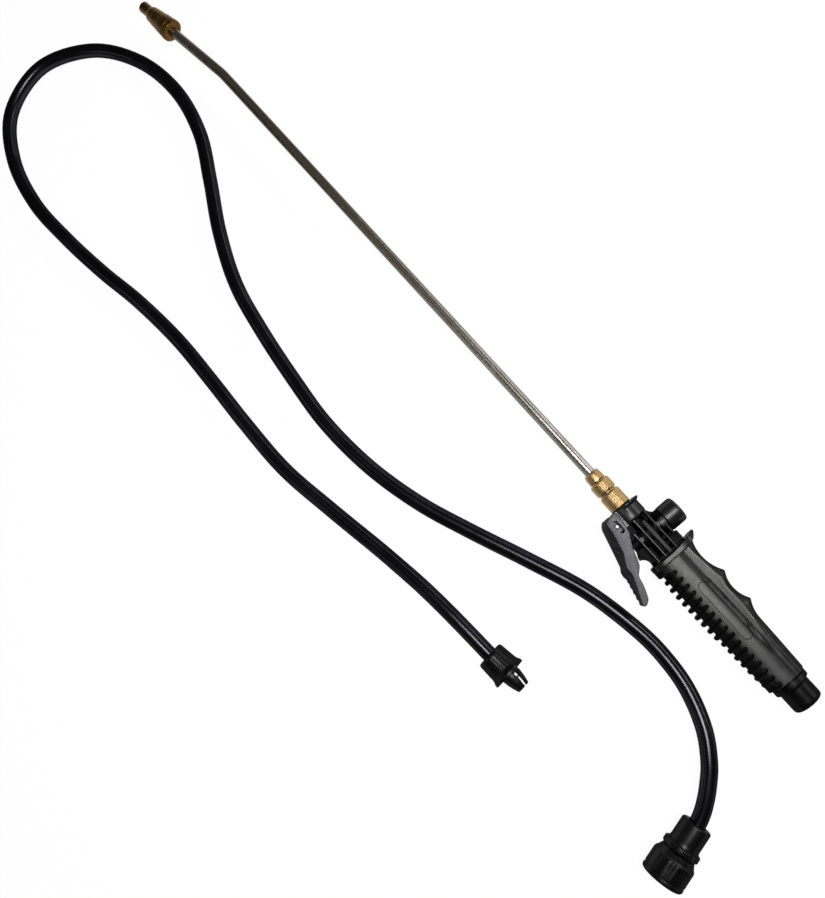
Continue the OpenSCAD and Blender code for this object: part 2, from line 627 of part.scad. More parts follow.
// inner face of the web, from the tail's root to the nose, and the height of the pad's root in it
web_line = [[-27.4, 18.6], [-23.6, 15.9], [-8.2, 11.4], [4.4, 7.9]];
function pad_root(x) = lookup(x, web_line) + web_t / 2;
module channel_outline() {
  polygon(concat([[-20, -12], [-36, 10], [-33.5, 17.6], [-31, 19]], web_line,
    [[lever_nose - web_t - 1.4, 7.6], [lever_nose - web_t, 6], [lever_nose - web_t, -12]]));
}
module lever() {
  color("#3c3c40") on_floor() translate([x_pivot, pivot_y, 0]) difference() {
    union() {
      difference() {
        slab(lever_half) polygon(concat(lever_outer(), lever_inner()));
        slab(lever_half - cheek_t) channel_outline();
        // the nose's web stops clear of the socket and the connector
        translate([lever_nose - web_t - 0.1, -12, -lever_half + cheek_t])
          cube([web_t + 1, 12.4 - pivot_y + 12, 2 * lever_half - 2 * cheek_t]);
      }
      // pad that presses the stem's head
      slab(3) polygon([[4.4 - arm, head_y + face_gap - pivot_y], [4.4 - arm, pad_root(4.4 - arm)],
        [-arm, pad_root(-arm)], [-4.4 - arm, pad_root(-4.4 - arm)],
        [-4.4 - arm, head_y + face_gap - pivot_y]]);
    }
    // slot that the pin slides in
    slab(lever_half + 1) {
      translate([-lock_travel - 0.2, -pin_r - run_fit]) square([lock_travel + 2.4,
        2 * pin_r + 2 * run_fit]);
      for (x = [-lock_travel - 0.2, 2.2]) translate([x, 0]) circle(pin_r + run_fit);
    }
  }
}
module lever_pin() {
  color("#8f9296") on_floor() translate([x_pivot, pivot_y, 0]) slab(lever_half - 0.2) difference() {
    circle(pin_r);
    circle(pin_bore);
  }
}

// ---- brass outlet ----
module outlet_connector() {
  color("#d9a441") on_floor() difference() {
    union() {
      xcyl(shank_r, x_front - shank_len, x_front);
      intersection() {
        translate([x_front, 0, 0]) rotate([0, 90, 0]) linear_extrude(knurl_len)
          polygon(knurl(knurl_r, knurl_depth, knurl_teeth));
        turned(x_front) polygon([[0, 0], [knurl_r - 0.8, 0], [knurl_r + 0.2, 1],
          [knurl_r + 0.2, knurl_len - 1],
          [knurl_r - 0.8, knurl_len], [0, knurl_len]]);
      }
      xcyl(knurl_r - neck_in, x_nut, x_gland - face_gap);
      xcyl(thread_r, x_nut, x_nut + thread_len);
    }
    xcyl(way_r, x_front - shank_len - 1, x_nut + thread_len + 1);
    xcyl(tube_r + run_fit, x_tube - 0.3, x_nut + thread_len + 1);
  }
}
module gland_nut() {
  color("#dca94a") on_floor() difference() {
    intersection() {
      translate([x_gland, 0, 0]) rotate([0, 90, 0]) linear_extrude(gland_len)
        polygon(knurl(gland_r, knurl_depth / 2, knurl_teeth));
      turned(x_gland) polygon([[0, 0], [gland_r - 0.9, 0], [gland_r + 0.2, 1.1],
        [gland_r + 0.2, gland_len - 1.2],
        [gland_r - 1, gland_len], [0, gland_len]]);
    }
    xcyl(thread_r + run_fit, x_gland - 1, x_gland_end - gland_lip);
    xcyl(tube_r + 2 * ring_minor, x_gland_end - gland_lip - 2 * ring_minor - 0.05, x_gland_end - gland_lip);
    xcyl(tube_r + run_fit, x_gland - 1, x_gland_end + 1);
  }
}
module lance_oring() {
  color("#202022") on_floor() translate([x_gland_end - gland_lip - ring_minor - 0.05, 0,
    0]) rotate([0, 90, 0])
    oring(tube_r + ring_minor, ring_minor - 0.04);
}
module lance_ferrule() {
  color("#e0b560") on_floor() difference() {
    intersection() {
      translate([x_ferrule, 0, 0]) rotate([0, 90, 0]) cylinder(r = ferrule_r / cos(180 / ferrule_flats),
        h = ferrule_len, $fn = ferrule_flats);
      turned(x_ferrule) polygon([[0, 0], [ferrule_r, 0], [ferrule_r + 0.2, 0.6],
        [ferrule_r - 0.7, ferrule_len - 0.6],
        [ferrule_r - 1.4, ferrule_len], [0, ferrule_len]]);
    }
    xcyl(tube_r + seat_fit, x_ferrule - 1, x_ferrule + ferrule_len + 1);
  }
}

// ---- lance tube: straight, one gentle bend, straight ----
module tube_run(r, extra) {
  xcyl(r, x_tube - extra, x_bend + 0.2);
  translate([x_bend, bend_r, 0]) {
    rotate([0, 0, -90]) rotate_extrude(angle = bend_deg) translate([bend_r, 0]) circle(r + bend_swell);
    rotate([0, 0, bend_deg]) translate([0, -bend_r, 0]) xcyl(r, -0.2, tube_end + 8 + extra);
  }
}
module lance_tube() {
  color("#b8b4a8") on_floor() difference() {
    tube_run(tube_r, 0);
    tube_run(tube_r - tube_wall, 1);
  }
}

// ---- nozzle, built along its own axis from the back rim ----
module at_nozzle() {
  on_floor() translate([nozzle_x, nozzle_y, 0]) rotate([0, 0, bend_deg]) rotate([0, 90, 0]) children();
}
shoulder_s = nozzle_len - tip_len;
core_s = shoulder_s - 2;
module nozzle_body() {
  color("#8a6430") at_nozzle() difference() {
    rotate_extrude() polygon([[way_r, 0], [nozzle_r - 1.6, 0], [nozzle_r, 1.2], [nozzle_r, nozzle_rim],
      [spigot_r, nozzle_rim], [spigot_r, 17], [spigot_r - 1.1, 17], [spigot_r - 1.1, 19.2],
      [spigot_r, 19.2],
      [spigot_r, core_s - 5], [spigot_r - 1, core_s - 4], [way_r, core_s - 4]]);
    translate([0, 0, -1]) cylinder(r = tube_r + seat_fit, h = 9);
  }
}
module nozzle_oring() {
  color("#202022") at_nozzle() translate([0, 0, 18.1]) oring(spigot_r - 0.55, 0.52);
}
module swirl_core() {
  color("#a9823d") at_nozzle() difference() {
    union() {
      translate([0, 0, core_s - 12]) cylinder(r = way_r - run_fit, h = 12);
      translate([0, 0, core_s - 4 + face_gap]) cylinder(r = way_r + 1, h = 2.5 - face_gap);
      translate([0, 0, core_s]) cylinder(r1 = way_r - run_fit, r2 = 1, h = 3);
    }
    translate([0, 0, core_s - 13]) cylinder(r = 1.4, h = 12.4);
    for (a = [0, 90]) rotate([0, 0, a]) translate([-0.6, -8, core_s - 1.2]) cube([1.2, 16, 1]);
  }
}
module nozzle_cap() {
  color("#7c5a2c") at_nozzle() rotate_extrude() difference() {
    polygon([[0, nozzle_rim + face_gap], [nozzle_r - 0.7, nozzle_rim + face_gap],
      [nozzle_r - 0.4, nozzle_rim + 1],
      [nozzle_r - 1.1, 14], [nozzle_r - 2.2, 22], [cone_r, shoulder_s - 4],
      [cone_r - 0.6, shoulder_s - 1.6],
      [tip_r + 0.1, shoulder_s], [tip_r, shoulder_s + 1], [tip_r, nozzle_len - 0.8],
      [tip_r - 0.8, nozzle_len], [orifice_r + 1.2, nozzle_len], [orifice_r, nozzle_len - 1.2],
      [0, nozzle_len - 1.2]]);
    square([spigot_r + run_fit, core_s - 3]);
    square([way_r + 1.4, core_s - 1.4]);
    polygon([[0, 0], [way_r + 0.4, 0], [way_r + 0.4, core_s], [orifice_r, nozzle_len - 2.4],
      [orifice_r, nozzle_len], [0, nozzle_len]]);
  }
}

// ---- hose: route points from the small nut to the large coupling, on the floor ----
route = [[-232, 139.5, 13.5], [-222, 140.5, 13.5], [-200, 142, 13.5], [-176, 144, 12.7],
  [-151, 147, 10.5], [-127, 151, 8], [-105, 155, 6.2], [-58, 164, 6], [-9, 172, 6], [41, 173, 6],
  [88, 172, 6], [136, 172, 6], [186, 177, 6], [230, 185, 6], [277, 191, 6], [324, 193, 6], [371, 183, 6],
  [409, 157, 6], [422, 111, 6], [399, 67, 6], [358, 42, 6], [311, 35, 6], [265, 44, 6], [225, 64, 6],
  [183, 87, 6], [138, 105, 6], [91, 114, 6], [40, 120, 6], [-5, 123, 6], [-54, 119, 6], [-101, 108, 6],
  [-144, 92, 6], [-190, 73, 6], [-235, 56, 6], [-280, 47, 6], [-309, 46, 6.5], [-333, 49.5, 9],
  [-357, 58.6, 12.5], [-375, 71.2, 15], [-386.4, 83.2, 15.7], [-394.1, 93.6, 15.7], [-398.4, 101.4, 15.7],
  [-400.7, 107.6, 15.7], [-402.4, 113.9, 15.7]];
coupling_at = [-402.4, 113.9, union_r];
coupling_dir = 105;
small_at = [-232, 139.5, small_rim];
small_dir = 186.5;
hose_steps = 2;

function spline(a, b, c, d, t) = 0.5 * (2 * b + (c - a) * t + (2 * a - 5 * b + 4 * c - d) * t * t
  + (3 * b - a - 3 * c + d) * t * t * t);
function cut(z) = max(z, hose_r);
last = len(route) - 1;
hose_line = concat([small_at], [for (i = [1 : last - 1]) [route[i][0], route[i][1], cut(route[i][2])]],
  [coupling_at]);
function station(i) = let (n = len(hose_line) - 1) hose_line[min(max(i, 0), n)];
hose_path = [for (i = [0 : last - 1]) for (k = [0 : hose_steps - 1])
  spline(station(i - 1), station(i), station(i + 1), station(i + 2), k / hose_steps)];
hose_axis = concat(hose_path, [coupling_at]);
function heading(i) = let (n = len(hose_axis) - 1) i == 0 ? -[cos(small_dir), sin(small_dir), 0]
  : i == n ? [cos(coupling_dir), sin(coupling_dir), 0]
  : let (d = hose_axis[i + 1] - hose_axis[i - 1]) d / norm(d);
function across(h) = let (s = cross([0, 0, 1], h)) s / norm(s);
hose_points = [for (i = [0 : len(hose_axis) - 1]) let (h = heading(i), s = across(h), u = cross(h, s))
  for (k = [0 : hose_sides - 1]) let (a = 90 + (k + 0.5) * 360 / hose_sides)
    hose_axis[i] + hose_r / cos(180 / hose_sides) * (cos(a) * s + sin(a) * u)];
module hose() { color("#101012") polyhedron(hose_points, swept_faces(len(hose_axis), hose_sides)); }

// ---- small fitting, along its own axis from the hose's end face ----
module at_small() { translate(small_at) rotate([0, 0, small_dir]) rotate([0, 90, 0]) children(); }
small_in = 10;
module hose_nut() {
  color("#19191b") at_small() rotate_extrude() polygon([[hose_r + hose_gap + 0.1, -small_in],
    [small_r - 1.2, -small_in],
    [small_r, 1.2 - small_in], [small_r + 0.9, small_len - small_in - 3],
    [small_rim - 0.4, small_len - small_in - 1],
    [small_rim, small_len - small_in], [small_rim, small_len - small_in + small_rim_t],
    [collet_r + 0.5, small_len - small_in + small_rim_t], [collet_r + 0.5, 3.4],
    [hose_r + hose_gap + 0.1, 3.4 - face_gap]]);
}
collet_s = small_len - small_in + small_rim_t;
module hose_collet() {
  color("#1e1e20") at_small() difference() {
    union() {
      rotate_extrude() polygon([[tail_bore, 0], [hose_r, 0], [hose_r, 3.2],
        [collet_r + 0.2, 3.4 + face_gap],
        [collet_r + 0.2, 5], [collet_r - 0.8, 5.2], [collet_r - 0.8, collet_s - 3], [collet_r, collet_s],
        [collet_r, collet_s + 3], [collet_r - 0.9, collet_s + collet_len * 0.6],
        [collet_tip, collet_s + collet_len - 0.8], [collet_tip - 0.6, collet_s + collet_len],
        [tail_bore, collet_s + collet_len]]);
      tail_barbs();
    }
    for (a = [0, 120, 240]) rotate([0, 0, a + collet_turn]) {
      translate([-collet_slot / 2, 0, collet_s + 5.6]) cube([collet_slot, 10, collet_len]);
      translate([0, 0, collet_s + 3]) rotate([-90, 0, 0]) cylinder(r = collet_hole, h = 10);
    }
  }
}
// barbed tail inside the hose
module tail_barbs() {
  rotate_extrude() polygon([[tail_bore, -20], [hose_r - 2.4, -20], for (i = [0 : 3])
    each [[hose_r - 1.7, -18 + i * 4.5], [hose_r - 2.1, -17.9 + i * 4.5]], [hose_r - 2.1, 0],
      [tail_bore, 0]]);
}
module hose_gasket() {
  color("#2a2a2c") at_small() translate([0, 0, collet_s - 4.2]) oring(collet_r - 0.15, 0.62);
}

// ---- large coupling, along its own axis from the hose's end face ----
module at_large() { translate(coupling_at) rotate([0, 0, coupling_dir]) rotate([0, 90, 0]) children(); }
sleeve_in = 8.7;
ring_s = sleeve_len + 2.4 - sleeve_in;
union_s = ring_s + ring_len + 0.3;
module coupling_sleeve() {
  color("#19191b") at_large() rotate_extrude() polygon([[hose_r + 1.4, -sleeve_in],
    [sleeve_r - 1, -sleeve_in],
    [sleeve_r, 1 - sleeve_in], [sleeve_r, sleeve_len - sleeve_in], [sleeve_r + 0.6, ring_s],
    [hose_r + hose_gap, ring_s], [hose_r + hose_gap, 2 - sleeve_in / 2]]);
}
module coupling_ring() {
  color("#161618") at_large() difference() {
    rotate_extrude() polygon([[hose_r + hose_gap, ring_s], [ring_r - 0.7, ring_s], [ring_r, ring_s + 0.7],
      [ring_r, ring_s + ring_len - 0.7], [ring_r - 0.7, ring_s + ring_len],
      [hose_r + hose_gap, ring_s + ring_len]]);
    for (a = [0 : 30 : 330]) rotate([0, 0, a]) translate([ring_r + 0.5, 0, ring_s - 1])
      cylinder(r = 1.1, h = ring_len + 2, $fn = 24);
  }
}
mouth_s = union_s + union_len;
flange_s = mouth_s - union_depth - washer_t - tail_flange;
module coupling_tail() {
  color("#232326") at_large() union() {
    rotate_extrude() polygon([[tail_bore, 0], [hose_r, 0], [hose_r, flange_s],
      [union_bore - 1.2, flange_s], [union_bore - 1.2, flange_s + tail_flange],
      [tail_bore, flange_s + tail_flange]]);
    tail_barbs();
  }
}
module union_washer() {
  color("#2c2c2e") at_large() translate([0, 0, flange_s + tail_flange]) rotate_extrude()
    tube_section(union_bore - 1.2, tail_bore + 1.4, 0, washer_t);
}
module union_nut() {
  color("#18181a") at_large() difference() {
    intersection() {
      translate([0, 0, union_s]) linear_extrude(union_len) polygon(knurl(union_r, 0.35, union_flats));
      rotate_extrude() polygon([[0, union_s], [ring_r - 1.5, union_s], [ring_r + 0.7, union_s + 4.4],
        [union_r + 0.3, union_s + 5.9], [union_r + 0.3, mouth_s - 1.3], [union_r - 1, mouth_s],
        [0, mouth_s]]);
    }
    translate([0, 0, mouth_s - union_depth]) cylinder(r = union_bore, h = union_depth + 2);
    translate([0, 0, flange_s - face_gap]) cylinder(r = union_bore - 0.8, h = union_depth);
    translate([0, 0, union_s - 1]) cylinder(r = hose_r + run_fit, h = union_len);
  }
}

valve_body();
grip();
inlet_spigot();
inlet_gasket();
inlet_strainer();
lever();
lever_pin();
plunger();
seal_disc();
stem_oring();
stem_bush();
valve_seat();
valve_spring();
valve_cap();
cap_oring();
outlet_connector();
gland_nut();
lance_oring();
lance_ferrule();
lance_tube();
nozzle_body();
swirl_core();
nozzle_oring();
nozzle_cap();
hose();
hose_nut();
hose_collet();
hose_gasket();
coupling_sleeve();
coupling_ring();
coupling_tail();
union_nut();
union_washer();
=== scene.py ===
# %% [markdown]
# # A sprayer lance and its loose hose
# The object is a hand lance: a moulded handle with a trigger valve, brass fittings, a long thin steel tube
# with one gentle bend, and a screw nozzle. Its hose lies loose beside it, with a small slotted fitting at
# one end and a large union nut at the other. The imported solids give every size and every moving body. This
# file builds the skin that is seen: each piece is a surface worked out with numpy, and each finish is a
# material made of nodes.

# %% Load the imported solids
import json
import math
import bmesh
import bpy
import numpy as np
from mathutils import Matrix, Vector


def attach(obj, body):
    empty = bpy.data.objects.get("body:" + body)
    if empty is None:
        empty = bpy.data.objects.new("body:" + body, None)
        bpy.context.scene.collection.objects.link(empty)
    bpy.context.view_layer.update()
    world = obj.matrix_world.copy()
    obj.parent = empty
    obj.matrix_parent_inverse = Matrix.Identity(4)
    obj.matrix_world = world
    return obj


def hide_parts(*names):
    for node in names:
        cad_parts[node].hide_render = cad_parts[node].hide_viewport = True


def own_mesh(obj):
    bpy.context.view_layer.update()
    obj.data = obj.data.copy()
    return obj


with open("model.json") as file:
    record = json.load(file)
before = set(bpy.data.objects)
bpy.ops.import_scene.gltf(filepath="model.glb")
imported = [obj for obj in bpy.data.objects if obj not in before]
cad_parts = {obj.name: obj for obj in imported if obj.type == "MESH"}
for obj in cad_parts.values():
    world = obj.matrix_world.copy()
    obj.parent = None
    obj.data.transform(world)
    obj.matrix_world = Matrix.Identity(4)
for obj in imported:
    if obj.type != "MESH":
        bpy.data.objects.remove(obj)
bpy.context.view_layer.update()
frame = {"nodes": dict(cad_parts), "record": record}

# %% [markdown]
# ## The camera
# The camera looks almost straight down at the handle, so the lance runs away to the upper left. Its turn is
# written as the three directions that a camera has: right, up and back. A lens of 36 mm on a 36 mm film
# gives a calm view.

# %% The camera
LENS, FILM, CAMERA_AT = 36.08, 36.0, (-0.21676, 0.05226, 0.690)
camera_data = bpy.data.cameras.new("camera")
camera_data.lens = LENS
camera_data.sensor_width = FILM
camera_data.clip_start = 0.01
camera = bpy.data.objects.new("camera", camera_data)
bpy.context.scene.collection.objects.link(camera)
camera_right = (-0.6411, -0.7469, -0.1761)
camera_up = (0.7367, -0.6633, 0.1312)
camera_back = (-0.2148, -0.0457, 0.9756)
turn = Matrix((camera_right, camera_up, camera_back)).transposed().to_4x4()
camera.matrix_world = Matrix.Translation(CAMERA_AT) @ turn
bpy.context.scene.camera = camera
print("camera height:", round(camera.location.z, 3))

# %% [markdown]
# ## Measures
# The handle is easiest to measure from the end of its inlet stub, in millimetres, with the lance's axis as
# zero. One function moves such points to the floor frame in metres, so that no piece has to be shifted
# afterwards.

# %% Measures
MM = 0.001
LANCE_SHIFT = np.array([-387.567, -3.6, 16.0])


def from_lance(points):
    """Lance millimetres to metres over the floor: add the shift, then divide by a thousand."""
    return (np.asarray(points, float) + LANCE_SHIFT) * MM


def from_floor(points):
    """Millimetres over the floor to metres."""
    return np.asarray(points, float) * MM


def smooth(low, high, value):
    """0 below low, 1 above high, and 3t^2 - 2t^3 between them."""
    t = np.clip((np.asarray(value, float) - low) / (high - low), 0, 1)
    return t * t * (3 - 2 * t)


# %% [markdown]
# ## From surfaces to meshes
# Every shape below is a shell: a list of points and a list of faces. A grid of rings gives the faces by
# counting. The finishing step merges doubled points, turns the faces outwards and keeps only the steep
# edges sharp.

# %% Grid faces and pieces
def grid_faces(rings, around, wrap_rings=False):
    """Quads of a grid: each joins two neighbours on one ring to the same two on the next ring."""
    i, j = np.meshgrid(np.arange(rings if wrap_rings else rings - 1), np.arange(around), indexing="ij")
    right, ahead = (j + 1) % around, (i + 1) % rings
    corners = [i * around + j, i * around + right, ahead * around + right, ahead * around + j]
    return np.stack(corners, -1).reshape(-1, 4).tolist()


def skin(grid, wrap_rings=False, caps=False):
    """The shell of a grid of points (rings, around, 3). With caps, a face closes the first and last ring."""
    rings, around = grid.shape[:2]
    faces = grid_faces(rings, around, wrap_rings)
    if caps:
        faces += [list(range(around))[::-1], list(range((rings - 1) * around, rings * around))]
    return grid.reshape(-1, 3), faces


def clean_mesh(name, shell, merge):
    """A mesh of the shell with its doubles merged and its faces turned outwards."""
    mesh = bpy.data.meshes.new(name)
    mesh.from_pydata(np.asarray(shell[0]).tolist(), [], shell[1])
    work = bmesh.new()
    work.from_mesh(mesh)
    bmesh.ops.remove_doubles(work, verts=work.verts, dist=merge)
    bmesh.ops.recalc_face_normals(work, faces=work.faces)
    work.to_mesh(mesh)
    work.free()
    return mesh


def make_piece(name, shell, body, slot, replaces=(), place=from_lance, crisp=38):
    """A finished piece at the origin. Edges that turn by more than crisp degrees stay sharp."""
    mesh = clean_mesh(name, (place(shell[0]), shell[1]), 4e-6)
    mesh.shade_smooth()
    mesh.set_sharp_from_angle(angle=math.radians(crisp))
    piece = bpy.data.objects.new(name, mesh)
    bpy.context.scene.collection.objects.link(piece)
    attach(piece, body)
    if replaces:
        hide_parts(*replaces)
    finish_of[slot].append(piece)
    print(f"{name}: {len(mesh.polygons)} faces")
    return piece


finish_of = {m["slot"]: [] for m in frame["record"]["materials"]}

# %% [markdown]
# ## Rounded corners, turned pieces and plates
# Moulded and turned parts have no razor edges, and it is the small rounding that catches the light. A
# corner is rounded by a quadratic curve that leaves the corner's two sides a set length before it. A turned
# piece carries such a profile round an axis. A plate carries an outline up through its thickness, drawn in
# a little at both faces.

# %% Rounded corners
def soften(corners, cut=0.4, steps=4, closed=False):
    """Rounds each corner C of a polygon: (1-u)^2 A + 2u(1-u) C + u^2 B, where A and B lie cut from C on its
    two sides, or less than half of a short side. cut is one length or one for each corner."""
    c = np.asarray(corners, float)
    before, after = np.roll(c, 1, 0) - c, np.roll(c, -1, 0) - c
    cut = np.broadcast_to(np.asarray(cut, float), (len(c),))[:, None]

    def share(side):
        long = np.linalg.norm(side, axis=1, keepdims=True)
        return side * np.minimum(cut / np.maximum(long, 1e-9), 0.49)

    a, b = c + share(before), c + share(after)
    if not closed:
        a[[0, -1]] = b[[0, -1]] = c[[0, -1]]
    u = np.linspace(0, 1, steps + 1)[:, None, None]
    curve = (1 - u) ** 2 * a + 2 * u * (1 - u) * c + u ** 2 * b
    curve = curve.transpose(1, 0, 2)
    if closed:
        return curve.reshape(-1, c.shape[1])
    return np.concatenate([c[:1], curve[1:-1].reshape(-1, c.shape[1]), c[-1:]])


def spread(line, count, closed=False):
    """The same line with count points at equal steps along it."""
    line = np.asarray(line, float)
    if closed:
        line = np.concatenate([line, line[:1]])
    far = np.concatenate([[0], np.cumsum(np.linalg.norm(np.diff(line, axis=0), axis=1))])
    at = np.linspace(0, far[-1], count + 1)[:-1] if closed else np.linspace(0, far[-1], count)
    return np.stack([np.interp(at, far, line[:, k]) for k in range(line.shape[1])], 1)


# %% Turned pieces
def unit_circle(count):
    """Points (cos a, sin a) at count equal angles round a circle."""
    a = np.linspace(0, 2 * np.pi, count, endpoint=False)
    return np.stack([np.cos(a), np.sin(a)], 1)


def round_axis(at, axis, s, r, a):
    """The point s along an axis and r from it at the angle a: at + s*axis + r*(cos a*side + sin a*up)."""
    axis = np.asarray(axis, float)
    up = np.array([0.0, 0.0, 1.0])
    side = np.cross(up, axis)
    return (np.asarray(at, float) + (s + 0 * a)[..., None] * axis
            + (r * np.cos(a))[..., None] * side + (r * np.sin(a))[..., None] * up)


def turned(profile, at, axis, around=96, shape=None, closed=False):
    """A surface of revolution: each profile point (s, r) goes round the axis. shape(a, s, r) may give another
    radius, which is how knurls, flats and lugs are made."""
    s, r = np.asarray(profile, float).T[:, :, None]
    a = np.linspace(0, 2 * np.pi, around, endpoint=False)[None, :]
    r = shape(a, s, r) if shape else r + 0 * a
    return skin(round_axis(at, axis, s, r, a), wrap_rings=closed)


def teeth(count, depth, low, high, run=0.8, bore=5.8):
    """A radius that drops by depth between teeth: depth times the share |2*frac(count*a/2pi) - 1|, faded out
    over run millimetres before the ends low and high of the band. Radii under bore, the inside, stay."""
    def shape(a, s, r):
        wave = np.abs(2 * np.mod(count * a / (2 * np.pi), 1) - 1)
        return r - depth * wave * smooth(low, low + run, s) * smooth(-high, -high + run, -s) * (r > bore)
    return shape

# %% Plates
def plate(outline, low, high, edge=0.35, steps=3):
    """An outline carried from height low to high. At each face it is drawn in by edge*(1 - sin a) at the
    height edge*(1 - cos a), a quarter circle, along the inward normal of the outline."""
    p = np.asarray(outline, float)
    ahead = np.roll(p, -1, 0) - np.roll(p, 1, 0)
    area = np.sum(p[:, 0] * np.roll(p[:, 1], -1) - p[:, 1] * np.roll(p[:, 0], -1))
    inward = np.stack([-ahead[:, 1], ahead[:, 0]], 1) * np.sign(area)
    inward /= np.maximum(np.linalg.norm(inward, axis=1, keepdims=True), 1e-9)
    a = np.linspace(0, np.pi / 2, steps + 1)
    draw = np.concatenate([edge * (1 - np.sin(a)), (edge * (1 - np.sin(a)))[::-1]])
    height = np.concatenate([low + edge * (1 - np.cos(a)), (high - edge * (1 - np.cos(a)))[::-1]])
    flat = p[None] + draw[:, None, None] * inward[None]
    tall = np.broadcast_to(height[:, None, None], flat.shape[:2] + (1,))
    return skin(np.concatenate([flat, tall], 2), caps=True)


def block(x, y, z, edge=0.35):
    """A plate with four sides, from the lower to the upper value on each axis."""
    corners = [[x[0], y[0]], [x[1], y[0]], [x[1], y[1]], [x[0], y[1]]]
    return plate(soften(corners, edge, 3, closed=True), z[0], z[1], edge)


def across(shell):
    """A shell drawn in (z, y) with its height along x, put in its place."""
    return np.asarray(shell[0])[:, [2, 1, 0]], shell[1]


# %% [markdown]
# ## Solid arithmetic
# The valve body is one moulding of many ribs and tubes, and the lever has a slot. Adding and cutting closed
# shells with Blender's manifold solver gives one clean skin for each.

# %% Solid arithmetic
def combine(first, others, operation):
    """The first shell with the others joined to it or cut out of it, as one shell."""
    scratch = []
    for shell in [first, *others]:
        work = bpy.data.objects.new("work", clean_mesh("work", shell, 1e-4))
        bpy.context.scene.collection.objects.link(work)
        scratch.append(work)
    for tool in scratch[1:]:
        step = scratch[0].modifiers.new("step", "BOOLEAN")
        step.operation, step.solver, step.object = operation, "MANIFOLD", tool
    graph = bpy.context.evaluated_depsgraph_get()
    mesh = bpy.data.meshes.new_from_object(scratch[0].evaluated_get(graph))
    points = np.empty(len(mesh.vertices) * 3)
    mesh.vertices.foreach_get("co", points)
    faces = [list(face.vertices) for face in mesh.polygons]
    for work in scratch:
        bpy.data.objects.remove(work)
    return points.reshape(-1, 3), faces


# %% [markdown]
# ## The hose
# A spray hose is extruded tube, 12 mm thick, that keeps its wide curves because it is stiff. It is a circle
# carried along a smooth line through chosen points. The line bends through each point by the usual cubic
# for such splines, half of (2b + (c-a)t + (2a-5b+4c-d)t^2 + (3b-a-3c+d)t^3), the same as in the solids.

# %% The hose's route
hose_route = np.array([
    [-232, 139.5, 13.5], [-222, 140.5, 13.5], [-200, 142, 13.5], [-176, 144, 12.7], [-151, 147, 10.5],
    [-127, 151, 8], [-105, 155, 6.2], [-58, 164, 6], [-9, 172, 6], [41, 173, 6], [88, 172, 6], [136, 172, 6],
    [186, 177, 6], [230, 185, 6], [277, 190.9, 6], [324, 192.85, 6], [371, 183, 6], [409, 157, 6],
    [422, 111, 6], [399, 67, 6], [358, 42, 6], [311, 35, 6], [265, 44, 6], [225, 64, 6], [183, 87, 6],
    [138, 105, 6], [91, 114, 6], [40, 120, 6], [-5, 123, 6], [-54, 119, 6], [-101, 108, 6], [-144, 92, 6],
    [-190, 73, 6], [-235, 56, 6], [-280, 47, 6], [-309, 46, 6.5], [-333, 49.5, 9], [-357, 58.6, 12.5],
    [-375, 71.2, 15], [-386.4, 83.2, 15.7], [-394.1, 93.6, 15.7], [-398.4, 101.4, 15.7],
    [-400.7, 107.6, 15.7], [-402.4, 113.9, 15.7]])
HOSE_R = 6.0


def spline(stations, steps):
    """A smooth line through the stations, with steps points from each one to the next."""
    line = np.concatenate([stations[:1], stations, stations[-1:]])
    a, b, c, d = (line[k:len(line) - 3 + k][:, None] for k in range(4))
    t = np.linspace(0, 1, steps, endpoint=False)[None, :, None]
    curve = 0.5 * (2 * b + (c - a) * t + (2 * a - 5 * b + 4 * c - d) * t ** 2
                   + (3 * b - a - 3 * c + d) * t ** 3)
    return np.concatenate([curve.reshape(-1, 3), stations[-1:]])


hose_line = spline(hose_route, 8)
hose_steps = np.linalg.norm(np.diff(hose_line, axis=0), axis=1)


# %% The hose's skin
def carried(line, section):
    """A section carried along a line: at each point its first value goes sideways and its second upwards."""
    ahead = np.gradient(line, axis=0)
    ahead /= np.linalg.norm(ahead, axis=1, keepdims=True)
    side = np.cross(np.array([0.0, 0.0, 1.0]), ahead)
    side /= np.linalg.norm(side, axis=1, keepdims=True)
    top = np.cross(ahead, side)
    return line[:, None] + section[..., 0, None] * side[:, None] + section[..., 1, None] * top[:, None]


def pipe_surface(line, radius, sides):
    """A circle of that radius carried along the line."""
    return carried(line, np.repeat(unit_circle(sides)[None] * radius, len(line), 0))


HOSE_SIDES = 28
hose_skin = skin(pipe_surface(hose_line, HOSE_R, HOSE_SIDES), caps=True)
hose_tube = make_piece("hose_tube", hose_skin, "handle", "hose_pvc", ["hose"], from_floor)

# %% [markdown]
# ## The small fitting
# This end pushes into the handle's hose tail: a nut with a rounded shoulder and a flared rim, and a slotted
# tail that springs. The nut is turned, with fine grip ribs. The tail is a grid too, from which the faces in
# the slots and in the round hole are left out before the wall gets its thickness.

# %% The small nut
def heading(degrees):
    """The direction in the floor plane at that angle from +X."""
    return (math.cos(math.radians(degrees)), math.sin(math.radians(degrees)), 0.0)


SMALL_AT, SMALL_DIR = (-232, 139.5, 13.5), heading(186.5)
nut_profile = soften([[-10, 6.6], [-10, 10.0], [-8.8, 11.2], [5.6, 12.1], [7.6, 13.1], [8.6, 13.5],
                      [10.6, 13.5], [10.6, 8.0], [3.4, 8.0], [3.1, 6.6]],
                     [0.3, 1.4, 2.4, 1.4, 0.8, 0.5, 0.5, 0.3, 0.1, 0.1], 4, closed=True)
nut_skin = turned(nut_profile, SMALL_AT, SMALL_DIR, 144, teeth(36, 0.22, -7.5, 6.4), closed=True)
small_nut = make_piece("small_nut", nut_skin, "small_nut", "fitting_plastic", ["hose_nut"], from_floor)

